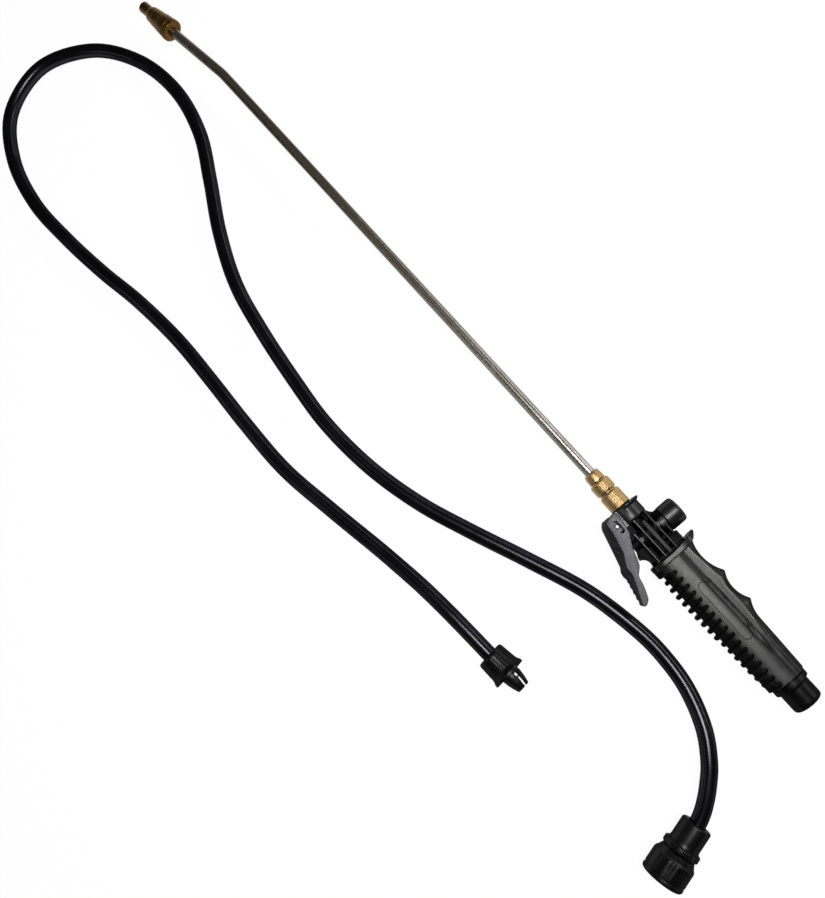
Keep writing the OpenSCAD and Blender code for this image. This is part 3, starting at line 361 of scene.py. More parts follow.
# %% The slotted tail
TAIL_WALL, TAIL_BORE, SLOT_START, SLIT_HALF = 1.6, 2.6, 16.2, 1.15
HOLE_S, HOLE_R, FIRST_SLIT = 13.6, 1.6, math.radians(52.7)
collet_outer = soften([[3.7, 7.7], [5, 7.7], [5.2, 6.7], [7.6, 6.7], [10.6, 7.5], [HOLE_S, 7.5], [18.6, 6.6],
                       [23.2, 5.4], [24, 4.8]], 0.5, 3)
s, r = spread(collet_outer, 72).T[:, :, None]
a = np.linspace(0, 2 * np.pi, 120, endpoint=False)[None]
inner = np.maximum(np.minimum(r - TAIL_WALL, 5.2), TAIL_BORE)
third = np.mod(a - FIRST_SLIT + np.pi / 3, 2 * np.pi / 3) - np.pi / 3
gap = (np.abs(third) * r < SLIT_HALF) & (s > SLOT_START)
gap |= (third * r) ** 2 + (s - HOLE_S) ** 2 < HOLE_R ** 2


def open_shell(outer, inward, hole):
    """A wall between two grids with the holed faces left out: a face stays where none of its corners is in a
    hole, and each edge that then has one face only gets a wall to the other grid."""
    rings, count = hole.shape
    i, j = np.meshgrid(np.arange(rings - 1), np.arange(count), indexing="ij")
    k = (j + 1) % count
    kept = ~(hole[i, j] | hole[i, k] | hole[i + 1, j] | hole[i + 1, k])
    quads = np.stack([i * count + j, i * count + k, (i + 1) * count + k, (i + 1) * count + j], -1)[kept]
    total = rings * count
    edges = np.stack([quads, np.roll(quads, -1, 1)], -1).reshape(-1, 2)
    key = edges.min(1) * total + edges.max(1)
    found, times_found = np.unique(key, return_counts=True)
    rim = edges[np.isin(key, found[times_found == 1])]
    walls = np.stack([rim[:, 0], rim[:, 1], rim[:, 1] + total, rim[:, 0] + total], 1)
    faces = np.concatenate([quads, quads[:, ::-1] + total, walls])
    used, faces = np.unique(faces, return_inverse=True)
    return np.concatenate([outer.reshape(-1, 3), inward.reshape(-1, 3)])[used], faces.reshape(-1, 4).tolist()


tail_skin = open_shell(*(round_axis(SMALL_AT, SMALL_DIR, s, radius, a) for radius in (r, inner)), gap)
small_tail = make_piece("small_slotted_tail", tail_skin, "handle", "fitting_plastic", ["hose_collet"],
                        from_floor)

# %% [markdown]
# ## The large coupling
# The other end screws onto the handle or the tank: a plain collar over the hose, a lock ring with small
# lugs, and a union nut that turns. Its grip is a row of shallow flats, and its mouth is open, with a washer
# deep inside.

# %% The large coupling
LARGE_AT, LARGE_DIR = (-402.4, 113.9, 15.7), heading(105)
sleeve_profile = soften([[-8.7, 6.7], [-8.7, 10.0], [-7.7, 11.0], [6.4, 11.0], [8.8, 11.6], [8.8, 6.5],
                         [-2, 6.5]], [0.3, 0.8, 0.8, 0.6, 0.4, 0.1, 0.1], 4, closed=True)
sleeve_skin = turned(sleeve_profile, LARGE_AT, LARGE_DIR, 96, closed=True)
large_sleeve = make_piece("large_collar", sleeve_skin, "handle", "fitting_plastic", ["coupling_sleeve"],
                          from_floor)


def lugs(a, s, r):
    """Twelve shallow hollows: the radius drops by up to 0.6 where cos 12a is near 1, outside the core."""
    return r - 0.6 * smooth(0.55, 0.95, np.cos(12 * a)) * (r > 12)


ring_profile = soften([[8.8, 6.5], [8.8, 12.8], [9.5, 13.5], [13.1, 13.5], [13.8, 12.8], [13.8, 6.5]],
                      [0.1, 0.4, 0.5, 0.5, 0.4, 0.1], 3, closed=True)
ring_skin = turned(ring_profile, LARGE_AT, LARGE_DIR, 168, lugs, closed=True)
large_ring = make_piece("large_lock_ring", ring_skin, "handle", "fitting_plastic", ["coupling_ring"],
                        from_floor)

union_profile = soften([[14.1, 6.1], [14.1, 12.0], [18.5, 14.2], [20.0, 15.55], [31.8, 15.6], [32.3, 15.1],
                        [33.0, 15.1], [33.5, 15.65], [35.4, 15.65], [36.5, 14.7], [36.5, 11.6], [36.1, 11.4],
                        [25.5, 11.4], [25.5, 10.6], [20.8, 10.6], [20.8, 6.1]],
                       [0.1, 0.8, 1.4, 1.4, 0.2, 0.2, 0.2, 0.3, 0.6, 0.5, 0.2, 0.2, 0.1, 0.1, 0.1, 0.1], 4,
                       closed=True)
union_skin = turned(union_profile, LARGE_AT, LARGE_DIR, 192, teeth(24, 0.32, 19.2, 32.0, 1.6), closed=True)
large_nut = make_piece("large_union_nut", union_skin, "large_nut", "fitting_plastic", ["union_nut"],
                       from_floor)

# %% [markdown]
# The imported solids are kept under a short name, and the hose's thickness and the number of points on its
# line are printed.

nodes = frame["nodes"]
print("hose:", 2 * HOSE_R, "mm thick,", len(hose_line), "points")

# %% [markdown]
# ## The grip
# The grip is one moulding with a flat top, a crease, a hollow flank and a palm edge with two scallops for
# the fingers. The other side is a comb of fins. A section with soft corners changes along the lance, and it
# is closed round the core. In a slot, each point slides towards the core until it meets the slot's floor,
# so the fins are part of the same surface.

# %% The grip's outline along the lance
GRIP_REAR, GRIP_FRONT, GUARD_X, CORE_Y = 21.5, 133.1, 131.5, -3.5
CORE_WIDE, CORE_HIGH = 15.5, 11.0
PALM_PEAK = -23.2
palm_arcs = [(64.5, (64.5, -18.8), (77.1, PALM_PEAK), 24), (77.5, (77.9, PALM_PEAK), (102.6, PALM_PEAK), 22),
             (103.0, (103.4, PALM_PEAK), (GRIP_FRONT, -21.2), 30)]


def scallop(x, start, end, radius):
    """The arc of that radius through two points, bowed towards +y: centre y plus the root of
    r^2 - (x - centre)^2."""
    start, end = np.array(start), np.array(end)
    reach = end - start
    half = np.linalg.norm(reach) / 2
    normal = np.array([-reach[1], reach[0]]) / (2 * half)
    centre = (start + end) / 2 - normal * math.sqrt(radius ** 2 - half ** 2)
    return centre[1] + np.sqrt(np.maximum(radius ** 2 - (x - centre[0]) ** 2, 0))


def palm_edge(x):
    """How far the palm side stands from the axis: a straight rear, then three arcs that meet in two peaks."""
    y = np.interp(x, [GRIP_REAR, 43.5, 64.5], [-17.4, -18.2, -18.8])
    for begin, start, end, radius in palm_arcs:
        y = np.where(x > begin, scallop(x, start, end, radius), y)
    return np.maximum(y, PALM_PEAK)


def rounded_palm(x):
    """The palm edge averaged over nearby stations, which rounds its peaks."""
    near = np.linspace(-0.8, 0.8, 9)
    return palm_edge(np.clip(np.add.outer(x, near), GRIP_REAR, GRIP_FRONT)).mean(-1)


print("palm peaks:", PALM_PEAK, "mm from the axis")

# %% [markdown]
# The comb has seventeen slots at even steps. The grip gets a section wherever its surface turns: at both
# walls and over the round floor of each slot, over the soft shoulders of each fin, and close together at
# its two ends.

# %% Where the grip is cut across
SLOTS, SLOT_HALF, SLOT_PITCH, FIRST_SLOT = 17, 1.55, 6.26, 6.9
slot_x = GUARD_X - FIRST_SLOT - SLOT_PITCH * np.arange(SLOTS)
in_slot = SLOT_HALF * np.sin(np.radians([-90, -70, -45, -20, 0, 20, 45, 70, 90]))
on_fin = np.array([-3.12, -2.75, -2.35, -2.0, -1.75, -1.59, 1.59, 1.75, 2.0, 2.35, 2.75])
near_ends = [GRIP_REAR, 21.6, 21.8, 22.1, 126.6, 127.2, 127.8, 128.8, 130, 131.2, 132.2, GRIP_FRONT]
grip_x = np.concatenate([np.add.outer(slot_x, np.concatenate([in_slot, on_fin])).ravel(), near_ends])
grip_x = np.unique(np.round(grip_x[(grip_x >= GRIP_REAR) & (grip_x <= GRIP_FRONT)], 3))
print("grip stations:", len(grip_x))

# %% The grip's section
def grip_half_section(x):
    """The upper half of the section at station x as 110 even points (y, z), from the comb side over the top
    to the palm edge: straight between its corners, each rounded by a cut of its own."""
    comb = np.interp(x, [21.5, 28, 35, 41.5, 52.5, 67, 72, 87.5, 103.5, 117.5, 121.5, 125.5, 127.1],
                     [12.1, 12.6, 13.2, 13.6, 13.9, 14.2, 15.0, 15.5, 15.6, 15.4, 14.5, 14.3, 15.2])
    palm = rounded_palm(np.array([x]))[0]
    rim = np.interp(x, [21, 40, 64.8, 76.8, 80.6, 95.1, 101.3, 106.4, 126.3],
                    [-14.0, -14.3, -14.8, -15.8, -16.2, -16.1, -17.9, -16.9, -15.2])
    rim = max(rim, palm + 1.7)
    front = float(smooth(36, 74, x))
    ridge = float(smooth(60, 70, x) * (1 - smooth(103, 110, x)))
    rear_flank = np.array([(-5.0, 13.8), (-7.0, 13.55), (-8.4, 13.3), (-9.6, 13.05), (-11.0, 12.95)])
    open_flank = np.array([(-5.6, 13.75), (-7.4, 13.3), (-8.0, 12.5), (-8.9, 11.6), (-9.9, 10.8)])
    ridge_flank = np.array([(-5.4, 13.75), (-6.9, 13.4), (-8.8, 13.15), (-9.7, 12.9), (-10.2, 10.9)])
    flank = rear_flank + front * (open_flank - rear_flank) + ridge * (ridge_flank - open_flank)
    corners = [(comb, 0), (comb, 1.8), (comb - 1.8, 4.6), (comb - 4.0, 8.6), (comb - 6.2, 12.4),
               (0.36 * comb, 13.4), (0.08 * comb, 13.9), (-3, 13.95), *flank.tolist(),
               (rim + 1.2, 12.5 - 2.0 * front), (rim, 11.3 - 0.7 * front), (rim - 0.7, 9.5),
               ((rim + palm) / 2 - 0.5, 7.4), (palm, 4.0), (palm, 0)]
    sharp = 0.35 + 0.6 * (1 - front)
    cut = [0, 0.9, 1.2, 1.6, 1.3, 1.6, 1.4, 1.4, 1.0, 0.6, sharp, 0.3, sharp, 0.5, 0.4, 0.5, 1.2, 2.0, 0]
    return spread(soften(corners, cut, 5), 110)


half_sections = np.stack([grip_half_section(x) for x in grip_x])
ring_y = np.concatenate([half_sections[:, :, 0], half_sections[:, -2:0:-1, 0]], 1)
ring_z = np.concatenate([half_sections[:, :, 1], -half_sections[:, -2:0:-1, 1]], 1)
print("grip section points:", ring_y.shape[1])

# %% [markdown]
# The slots and the fins come from one radius. A ray from the core's centre leaves the section at its full
# radius. In a slot it stops at the core, or where it meets the flat floor of the notch, whichever is
# further out.

# %% The comb's slots
SLOT_WALL, FIN_HALF, FIN_DROP, FIN_END, END_ROUND = 0.02, 1.56, 1.1, 127, 0.6
slot_edge = SLOT_HALF + SLOT_WALL
reach = np.hypot(ring_y - CORE_Y, ring_z)
rise = np.maximum((ring_y - CORE_Y) / reach, 1e-3)
off = np.abs(grip_x[:, None] - slot_x[None]).min(1)[:, None]
notch_low = np.interp(grip_x, [24, 60, 126], [2.4, 3.1, 3.2])[:, None]
core = 1 / np.sqrt(((ring_y - CORE_Y) / reach / CORE_WIDE) ** 2 + (ring_z / reach / CORE_HIGH) ** 2)
floor = notch_low + SLOT_HALF * (1 - np.sqrt(np.maximum(1 - (off / (SLOT_HALF + SLOT_WALL / 2)) ** 2, 0)))
cut_reach = np.maximum(core, (floor - CORE_Y) / rise)
cut_reach = np.where((off < slot_edge) & (ring_y > notch_low), cut_reach, 1e3)
fin = np.clip((off - slot_edge) / FIN_HALF, 0, 1)
fin_drop = FIN_DROP * (1 - np.sqrt(1 - (1 - fin) ** 2)) * (off >= slot_edge) * (grip_x < FIN_END)[:, None]
near_rear = (GRIP_REAR + END_ROUND - grip_x) / END_ROUND
rear_round = END_ROUND * (1 - np.sqrt(np.clip(1 - near_rear ** 2, 0, 1))) * (near_rear > 0)
new_reach = np.minimum(reach - fin_drop * smooth(6, 12, ring_y) - rear_round[:, None], cut_reach)
grip_y = CORE_Y + (ring_y - CORE_Y) * new_reach / reach
grip_z = ring_z * new_reach / reach
grip_grid = np.stack([np.broadcast_to(grip_x[:, None], grip_y.shape), grip_y, grip_z], -1)
make_piece("grip_shell", skin(grip_grid, caps=True), "handle", "grey_plastic", ["grip"], crisp=42)

# %% [markdown]
# ## The finger guard
# A flange closes the front of the grip and leans forward into a spur that keeps the finger off the valve.
# Its outline is a rounded bar, and its two faces are curved: the place of each point along the lance
# depends on its height.

# %% The finger guard
def bar_outline(low, high, half, low_round, high_round):
    """A bar's outline in (z, y) with its own rounding at its lower and its upper corners."""
    corners = [[half, low], [half, high], [-half, high], [-half, low]]
    return soften(corners, [low_round, high_round, high_round, low_round], 12, closed=True)


guard_line = spread(bar_outline(-26.2, 15.2, 16, 17, 12), 150, closed=True)
guard_centre = np.array([0.0, -4.0])
edge_turn = np.linspace(0, np.pi / 2, 6)
share_in = np.concatenate([np.linspace(0.02, 0.94, 12), 1 - 0.045 * (1 - np.sin(edge_turn))])
depth_in = np.concatenate([np.zeros(12), 0.22 * (1 - np.cos(edge_turn))])
shares = np.concatenate([share_in, share_in[::-1]])[:, None, None]
depths = np.concatenate([depth_in, 1 - depth_in[::-1]])[:, None]
guard_zy = guard_centre + shares * (guard_line[None] - guard_centre)
back = np.interp(guard_zy[..., 1], [-26.2, -22, -18.9, -12, 0], [137.4, 134.0, 132.5, 131.5, 131.5])
front = np.interp(guard_zy[..., 1], [-26.2, -22, -18.7, -4, 0], [138.9, 138.3, 137.5, 136.1, 136.1])
guard_grid = np.stack([back + depths * (front - back), guard_zy[..., 1], guard_zy[..., 0]], -1)
make_piece("finger_guard", skin(guard_grid, caps=True), "handle", "grey_plastic")

# %% [markdown]
# ## The inlet
# The rear end is a black stub that the union nut screws onto, and a ring that closes the grip. Both are one
# turned piece around the feed pipe.

# %% The inlet stub and ring
ALONG, PALMWARD, COMBWARD, ON_AXIS = (1, 0, 0), (0, -1, 0), (0, 1, 0), (0, 0, 0)
stub_profile = soften([[0, 8.4], [0, 9.0], [0.7, 10.6], [2.4, 11.2], [14.9, 11.2], [15.4, 11.5], [16, 12.6],
                       [16.4, 13.4], [20.2, 13.4], [20.7, 13.0], [20.7, 12.4], [GRIP_REAR, 12.4],
                       [GRIP_REAR, 7.02], [8, 7.02], [8, 4], [6, 4], [6, 8.4]],
                      [.2, .6, 1, 1.2, .4, .4, .4, .5, .5, .3, .2, .1, .1, .1, .1, .1, .1], 4, closed=True)
make_piece("inlet_stub", turned(stub_profile, (0, CORE_Y, 0), ALONG, 120, closed=True), "handle",
           "black_plastic", ["inlet_spigot"])

# %% [markdown]
# ## The valve body
# In front of the guard the feed pipe becomes a cage of ribs that leaves the walls thin. It carries the
# valve chamber, the ear for the lever's pin and the round socket for the brass outlet. Each rib is a plate
# with rounded edges, each tube is turned, and all are joined into one skin before the pin's hole is cut.

# %% The valve body
PIVOT, VALVE_X, CAGE_X = (174.3, 11.9), 156.3, 136.2
RIB, RIB_HALF = 1.3, 10.6


def slab(corners, half, cut=0.6, edge=0.35):
    """A plate in the lance's plane, equally thick above and below it."""
    return plate(soften(corners, cut, 4, closed=True), -half, half, edge)


def disc(x, y, radius, half, edge=0.35, around=48):
    """A short round bar that stands straight up through the lance's plane."""
    return plate(np.array([x, y]) + radius * unit_circle(around), -half, half, edge)


pipe = turned(soften([[8, 4], [8, 6.98], [140, 6.98], [140, 4]], 0.2, 2, True), (0, CORE_Y, 0), ALONG, 64,
              closed=True)
spine = turned(soften([[CAGE_X, 0], [CAGE_X, 5.8], [171, 5.8], [171, 0]], 0.3, 3), (0, -1.6, 0), ALONG, 64)
front_plate = across(plate(bar_outline(-17.5, 11.8, 8.4, 4, 4), 136.1, 138.3, 0.3))
ribs = [block((CAGE_X, 170.4), (y - RIB / 2, y + RIB / 2), (-RIB_HALF, RIB_HALF), 0.3)
        for y in (7.3, 1.0, -9.0)]
ribs += [block((CAGE_X, 166), (-5.2, -2.2), (-RIB_HALF, RIB_HALF), 0.5),
         block((145.1, 160.1), (-15.1, -13.8), (-9.4, 9.4)),
         block((136.4, 145.6), (-17.4, -8.2), (-6.4, 6.4), 0.6)]
chamber = turned(soften([[-7, 0], [-7, 8.2], [11.4, 8.2], [11.4, 9.7], [16.3, 9.7], [16.3, 8.2], [23.2, 8.2],
                         [23.2, 5.5], [12, 5.5], [12, 0]], 0.3, 3), (VALVE_X, 0, 0), PALMWARD, 80)
stem_boss = turned(soften([[4, 0], [4, 5.4], [14, 5.4], [14, 2.1], [6, 2.1], [6, 0]],
                          [0, .3, .5, .3, .1, 0], 3), (VALVE_X, 0, 0), COMBWARD, 64)
print("rib plates:", len(ribs))

# %% The socket and its lip
def lip_window(a, s, r):
    """The lip keeps its own radius on the palm side of the socket and sinks into the socket at the lever."""
    palm = smooth(-0.35, 0.35, np.cos(a - math.pi))
    return np.where(r > 11.4, 11.2 + (r - 11.2) * palm, r + 0 * a)


socket = turned(soften([[169.3, 0], [169.3, 9.8], [170.6, 11.5], [172.2, 11.8], [182.3, 11.8], [183, 11.1],
                        [183, 0]], [0, 0.8, 1.0, 1.0, 0.5, 0.5, 0], 4), ON_AXIS, ALONG, 96)
lip = turned(soften([[179.3, 8], [179.3, 11.6], [181.4, 14.0], [182.3, 14.0], [182.9, 11.5], [182.9, 8]],
                    [0.1, 1.2, 0.2, 0.2, 0.4, 0.1], 3, True), ON_AXIS, ALONG, 96, lip_window, True)
EAR_HALF = 5.7
ear = slab([[179.0, 4], [179.0, 14.5], [176.5, 16.6], [172, 16.6], [166.3, 15.7], [159.3, 13], [159.3, 4]],
           EAR_HALF, 1.4)
web = slab([[171.5, -10.8], [168.5, -11.8], [166.5, -13.4], [164.3, -15.4], [160.3, -5], [169.5, -5]], 3, 0.8)
ARCH_R, arch_middle = 6.4, np.array([139.3, 18.1])
arch_bow = np.radians(np.linspace(-15, -100, 12))
arch_circle = np.stack([np.cos(arch_bow), np.sin(arch_bow)], 1)
arch_edge = ([[VALVE_X, 14], [151.3, 14], [147.3, 16.2], [145.6, 16.4]]
             + (arch_middle + ARCH_R * arch_circle).tolist() + [[CAGE_X, 12.2]])
arch_inside = ([[CAGE_X, 10.8]] + (arch_middle + (ARCH_R + RIB) * arch_circle[:3:-1]).tolist()
               + [[148.2, 14.2], [151.3, 12.7], [VALVE_X, 12.7]])
arch = slab([[CAGE_X, 4], [VALVE_X, 4]] + arch_edge, 2.2, 0.3)
arch_rim = plate(np.array(arch_edge + arch_inside), -5.5, 5.5, 0.25)
bosses = [disc(157.1, -9.8, 2.1, 9.6), disc(156.1, 6, 2.1, 9.6)]
feed = [turned([[142.6, 0], [142.6, 3.7], [VALVE_X, 3.7], [VALVE_X, 0]], (0, -12.6, 0), ALONG, 40),
        turned(soften([[3.5, 0], [3.5, 3.7], [13.6, 3.7], [13.6, 0]], 0.5, 3), (142.6, 0, 0), PALMWARD, 40)]
cage = combine(pipe, [spine, front_plate, *ribs, chamber, stem_boss, socket, lip, ear, web, arch, arch_rim,
                      *bosses, *feed], "UNION")
print("cage:", len(cage[1]), "faces")

# %% What is cut out of the valve body
PIN_ROOM = 2.16
cheek_room = [block((162.3, 186.3), (5.3, 35), z, 0.01) for z in [(EAR_HALF, 25), (-25, -EAR_HALF)]]
bores = [disc(*PIVOT, PIN_ROOM, 30, 0.01),
         turned([[172, 0], [172, 6.12], [185, 6.12], [185, 0]], ON_AXIS, ALONG)]
slot_end = np.radians(np.linspace(-90, 90, 13))
slot_right = np.stack([2.2 + PIN_ROOM * np.cos(slot_end), PIN_ROOM * np.sin(slot_end)], 1)
slot_left = np.stack([-4.2 - PIN_ROOM * np.cos(slot_end), -PIN_ROOM * np.sin(slot_end)], 1)
slot_line = np.concatenate([slot_right, slot_left]) + np.array(PIVOT)
ear_pit = plate(slot_line, -4.4, 9, 0.01)
valve_ways = [turned([[6, 0], [6, 5.5], [24, 5.5], [24, 0]], (VALVE_X, 0, 0), PALMWARD, 80),
              turned([[-5, 0], [-5, 3.6], [8.6, 3.6], [8.6, 0]], (VALVE_X, 0, 0), PALMWARD, 64),
              turned([[3.5, 0], [3.5, 4.2], [18, 4.2], [18, 0]], (VALVE_X, 0, 0), COMBWARD, 64)]
cage = combine(cage, [*cheek_room, *bores, ear_pit, *valve_ways], "DIFFERENCE")
make_piece("valve_shell", cage, "handle", "black_plastic", ["valve_body"], crisp=34)

# %% [markdown]
# ## The side cap
# The cap closes the valve chamber and holds the spring. It is turned, hollow, with a well rounded end and a
# shallow ring on its face.

# %% The side cap
cap_profile = soften([[27.8, 0], [27.8, 5.5], [24.9, 5.5], [24.9, 8.26], [16.6, 8.26], [16.6, 9.5],
                      [17.1, 10], [27.8, 10], [29.3, 9.4], [29.95, 7.9], [30, 6.2], [29.7, 5.9], [29.7, 0]],
                     [0, .1, .1, .1, .1, .3, .4, 1.4, .8, .8, .3, .2, 0], 4)
make_piece("side_cap", turned(cap_profile, (VALVE_X, 0, 0), PALMWARD, 120), "side_cap", "black_plastic",
           ["valve_cap"])

# %% [markdown]
# Inside the cap a spring presses the valve shut. Its wire is a small ring of points carried round the
# valve's axis by seven turns: the place along the axis grows slowly in the closed end turns and faster
# between them.

# %% The valve spring
TURNS = 7
turn_share = np.linspace(0, 1, TURNS * 24 + 1)[:, None]
coil_angle = turn_share * TURNS * 2 * np.pi
ring_angle = np.linspace(0, 2 * np.pi, 10, endpoint=False)[None]
closed_turns = [0, 0.12, 0.88, 1], [0, 0.042, 0.958, 1]
SPRING_TOP, SPRING_FLOOR, TRAVEL, WIRE, COIL_R, COIL_LONG = 12.25, 27.8, 3.757, 0.5, 3.9, 14.5
coil_reach = COIL_R + WIRE * np.cos(ring_angle)
coil_along = SPRING_TOP + WIRE + np.interp(turn_share, *closed_turns) * COIL_LONG + WIRE * np.sin(ring_angle)
coil_grid = np.stack([VALVE_X + coil_reach * np.cos(coil_angle), -coil_along + 0 * coil_angle,
                      coil_reach * np.sin(coil_angle)], -1)
valve_coil = make_piece("valve_coil", skin(coil_grid, caps=True), "handle", "spring_steel", ["valve_spring"])
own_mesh(valve_coil)
print("spring:", len(valve_coil.data.polygons), "faces")

# %% [markdown]
# ## The lever
# The lever is a moulded channel: two flat cheeks and a back that bulges outwards, with ridges on its tail
# for the fingers. Its back goes from the cheeks' edge to the full outline as the height goes from the sides
# to the middle, by one minus the square of that height, which leaves a clear edge along the cheeks. The
# channel and the pin's slot are cut afterwards.

# %% The lever
lever_ridges = [[-35.9 - 4.4 * i - 2.7 * k, 21.4 + 1.05 * i + 1.5 * k] for i in range(4) for k in (0, 1)]
lever_back = np.array([[9.3, 6.5], [7.5, 8.6], [5, 10.2], [-7.6, 13.8], [-23, 18.4], [-26.2, 20.7],
                       [-30.2, 21.4], [-32.9, 20.8], [-34.4, 21.9], *lever_ridges, [-53.0, 25.6]])
lever_edge = np.array([[7.6, 4.2], [5.6, 5.6], [0.9, 5.5], [-6.6, 7.2], [-17.2, 10.2], [-21.5, 12.9],
                       [-25.8, 15.3], [-29, 15.7], [-32, 15.6], [-36, 17.2], [-41, 19.3], [-46, 21.6],
                       [-50, 23.6], [-52.7, 24.6]])
lever_front = np.array([[-54.5, 24.3], [-54.9, 22.7], [-53, 19.2], [-50.4, 17.6], [-42.8, 14.5], [-36.8, 13],
                        [-35.4, 12.3], [-31.1, 7.4], [-28.8, 6.3], [-24.9, 4.8], [-18.9, 2.6], [-13.1, -0.7],
                        [-9, -3.2], [-4.9, -4.3], [4.8, -5.8], [9.3, -4.6]])
back_line = spread(soften(lever_back, 0.9, 4), 110)
edge_line = spread(soften(lever_edge, 1.5, 4), 110)
front_line = spread(soften(lever_front, 1.2, 4), 90)
turn_in = np.linspace(0, np.pi / 2, 5)
LEVER_HALF, LEVER_EDGE = 8.0, 0.5
rise_in, draw_in = LEVER_EDGE * (1 - np.cos(turn_in)), LEVER_EDGE * (1 - np.sin(turn_in))
levels = np.concatenate([-LEVER_HALF + rise_in, np.linspace(-7.2, 7.2, 21), (LEVER_HALF - rise_in)[::-1]])
draw_in = np.concatenate([draw_in, np.zeros(21), draw_in[::-1]])
bulge = (1 - (np.abs(levels) / LEVER_HALF) ** 2)[:, None, None]
outer = edge_line[None] + bulge * (back_line - edge_line)[None]
loop = np.concatenate([outer, np.broadcast_to(front_line[None], (len(levels),) + front_line.shape)], 1)
flow = np.roll(loop, -1, 1) - np.roll(loop, 1, 1)
inward = np.stack([-flow[..., 1], flow[..., 0]], -1)
inward /= np.maximum(np.linalg.norm(inward, axis=-1, keepdims=True), 1e-9)
loop = loop + draw_in[:, None, None] * inward
tall = np.broadcast_to(levels[:, None, None], loop.shape[:2] + (1,))
lever_body = skin(np.concatenate([loop + np.array(PIVOT), tall], 2), caps=True)


def about_pivot(points):
    """Points given from the pin's centre, moved to the lance's measures."""
    return (np.asarray(points, float) + np.array(PIVOT)).tolist()


channel = slab(about_pivot([[-20, -12], [-36, 10], [-33.5, 15.2], [-31, 17.2], [-27.4, 17.4], [-23.6, 15.2],
                            [-8.2, 10.9], [4.4, 7.4], [6.9, 5.4], [6.9, -12]]), 6, 1.0, 0.5)
nose_room = block((PIVOT[0] + 6.0, PIVOT[0] + 12), (-1, 12.4), (-6, 6), 0.05)
pin_slot = plate(slot_line, -9, 9, 0.01)
pad = slab(about_pivot([[-13.6, 8.4], [-13.6, 14], [-18, 15.4], [-22.4, 16.6], [-22.4, 8.4]]), 3, 0.4)
lever_cut = combine(lever_body, [channel, nose_room], "DIFFERENCE")
lever_cut = combine(combine(lever_cut, [pad], "UNION"), [pin_slot], "DIFFERENCE")
make_piece("lever_shell", lever_cut, "lever", "lever_plastic", ["lever"], crisp=34)

# %% [markdown]
# ## The brass outlet
# The outlet and the gland nut are turned from brass bar and knurled, so that they can be tightened by hand.
# A knurl is a change of radius round the piece. The ferrule round the tube has eight flats: the distance of
# a flat is its least radius divided by the cosine of the angle from its middle.

# %% The brass outlet, gland nut and ferrule
connector_profile = soften([[172, 3], [172, 6.1], [183, 6.1], [183, 7.5], [183.8, 8.3], [195.7, 8.3],
                            [196.5, 7.5], [196.5, 7.0], [197.4, 7.0], [197.4, 5.6], [204.5, 5.6],
                            [204.5, 4.06], [198.7, 4.06], [198.7, 3]],
                           [.1, .1, .1, .4, .5, .5, .4, .2, .2, .1, .2, .1, .1, .1], 4, closed=True)
connector_skin = turned(spread(connector_profile, 260, closed=True), ON_AXIS, ALONG, 320,
                        teeth(40, 0.13, 183.6, 195.9, 0.6), True)
make_piece("brass_outlet", connector_skin, "handle", "brass", ["outlet_connector"], crisp=50)
gland_profile = soften([[197.8, 5.66], [197.8, 7.1], [198.7, 8.0], [206.6, 8.0], [208, 6.6], [208, 4.06],
                        [206.6, 4.06], [206.6, 5.66]], [.1, .2, .5, .7, .4, .1, .1, .1], 4, closed=True)
gland_skin = turned(spread(gland_profile, 150, closed=True), ON_AXIS, ALONG, 320,
                    teeth(40, 0.11, 199.2, 207.2, 0.6), True)
make_piece("gland_nut_shell", gland_skin, "gland", "brass", ["gland_nut"], crisp=50)


def eight_flats(a, s, r):
    """The smaller of the turned radius and the distance of the nearest flat, on the outside only."""
    from_flat = np.mod(a + math.pi / 8, math.pi / 4) - math.pi / 8
    return np.where(r > 4.6, np.minimum(r, 6.35 / np.cos(from_flat)), r + 0 * a)


ferrule_profile = soften([[208.3, 4.02], [208.3, 6.2], [208.9, 6.7], [214.5, 6.2], [215.7, 5.8], [216.3, 5.1],
                          [216.3, 4.02]], [.1, .3, .5, 1.5, .4, .3, .1], 4, closed=True)
make_piece("ferrule", turned(ferrule_profile, ON_AXIS, ALONG, 160, eight_flats, True), "lance", "brass",
           ["lance_ferrule"], crisp=20)

# %% [markdown]
# ## The lance tube
# The tube is thin stainless steel, 8 mm across. It runs straight, bends by six degrees on a small radius
# and ends in the nozzle. The bend is an arc: x grows with the sine of the angle, y with one minus its
# cosine.

# %% The lance tube
BEND_X, BEND_R, BEND = 668.3, 60.0, math.radians(6.2)
arc = np.linspace(0, BEND, 25)[1:]
bend_line = np.stack([BEND_X + BEND_R * np.sin(arc), BEND_R * (1 - np.cos(arc))], 1)
after = np.linspace(0, 68.5, 14)[1:, None] * np.array([math.cos(BEND), math.sin(BEND)]) + bend_line[-1]
straight = np.stack([np.linspace(199, BEND_X, 60), np.zeros(60)], 1)
tube_line = np.concatenate([straight, bend_line, after])
tube_line = np.concatenate([tube_line, np.zeros((len(tube_line), 1))], 1)
tube_wall = [pipe_surface(tube_line, radius, 48) for radius in (4.0, 3.2)]
tube_grid = np.concatenate([tube_wall[0], tube_wall[1][::-1]])
make_piece("lance_tube_shell", skin(tube_grid, wrap_rings=True), "lance", "stainless", ["lance_tube"])

# %% [markdown]
# ## The nozzle
# The nozzle is dark brass: a body with a rim that sits on the tube, and a long cap that screws in and out
# to change the spray. Fine turned steps break up the cap's cone, and its rim has shallow grip flats.

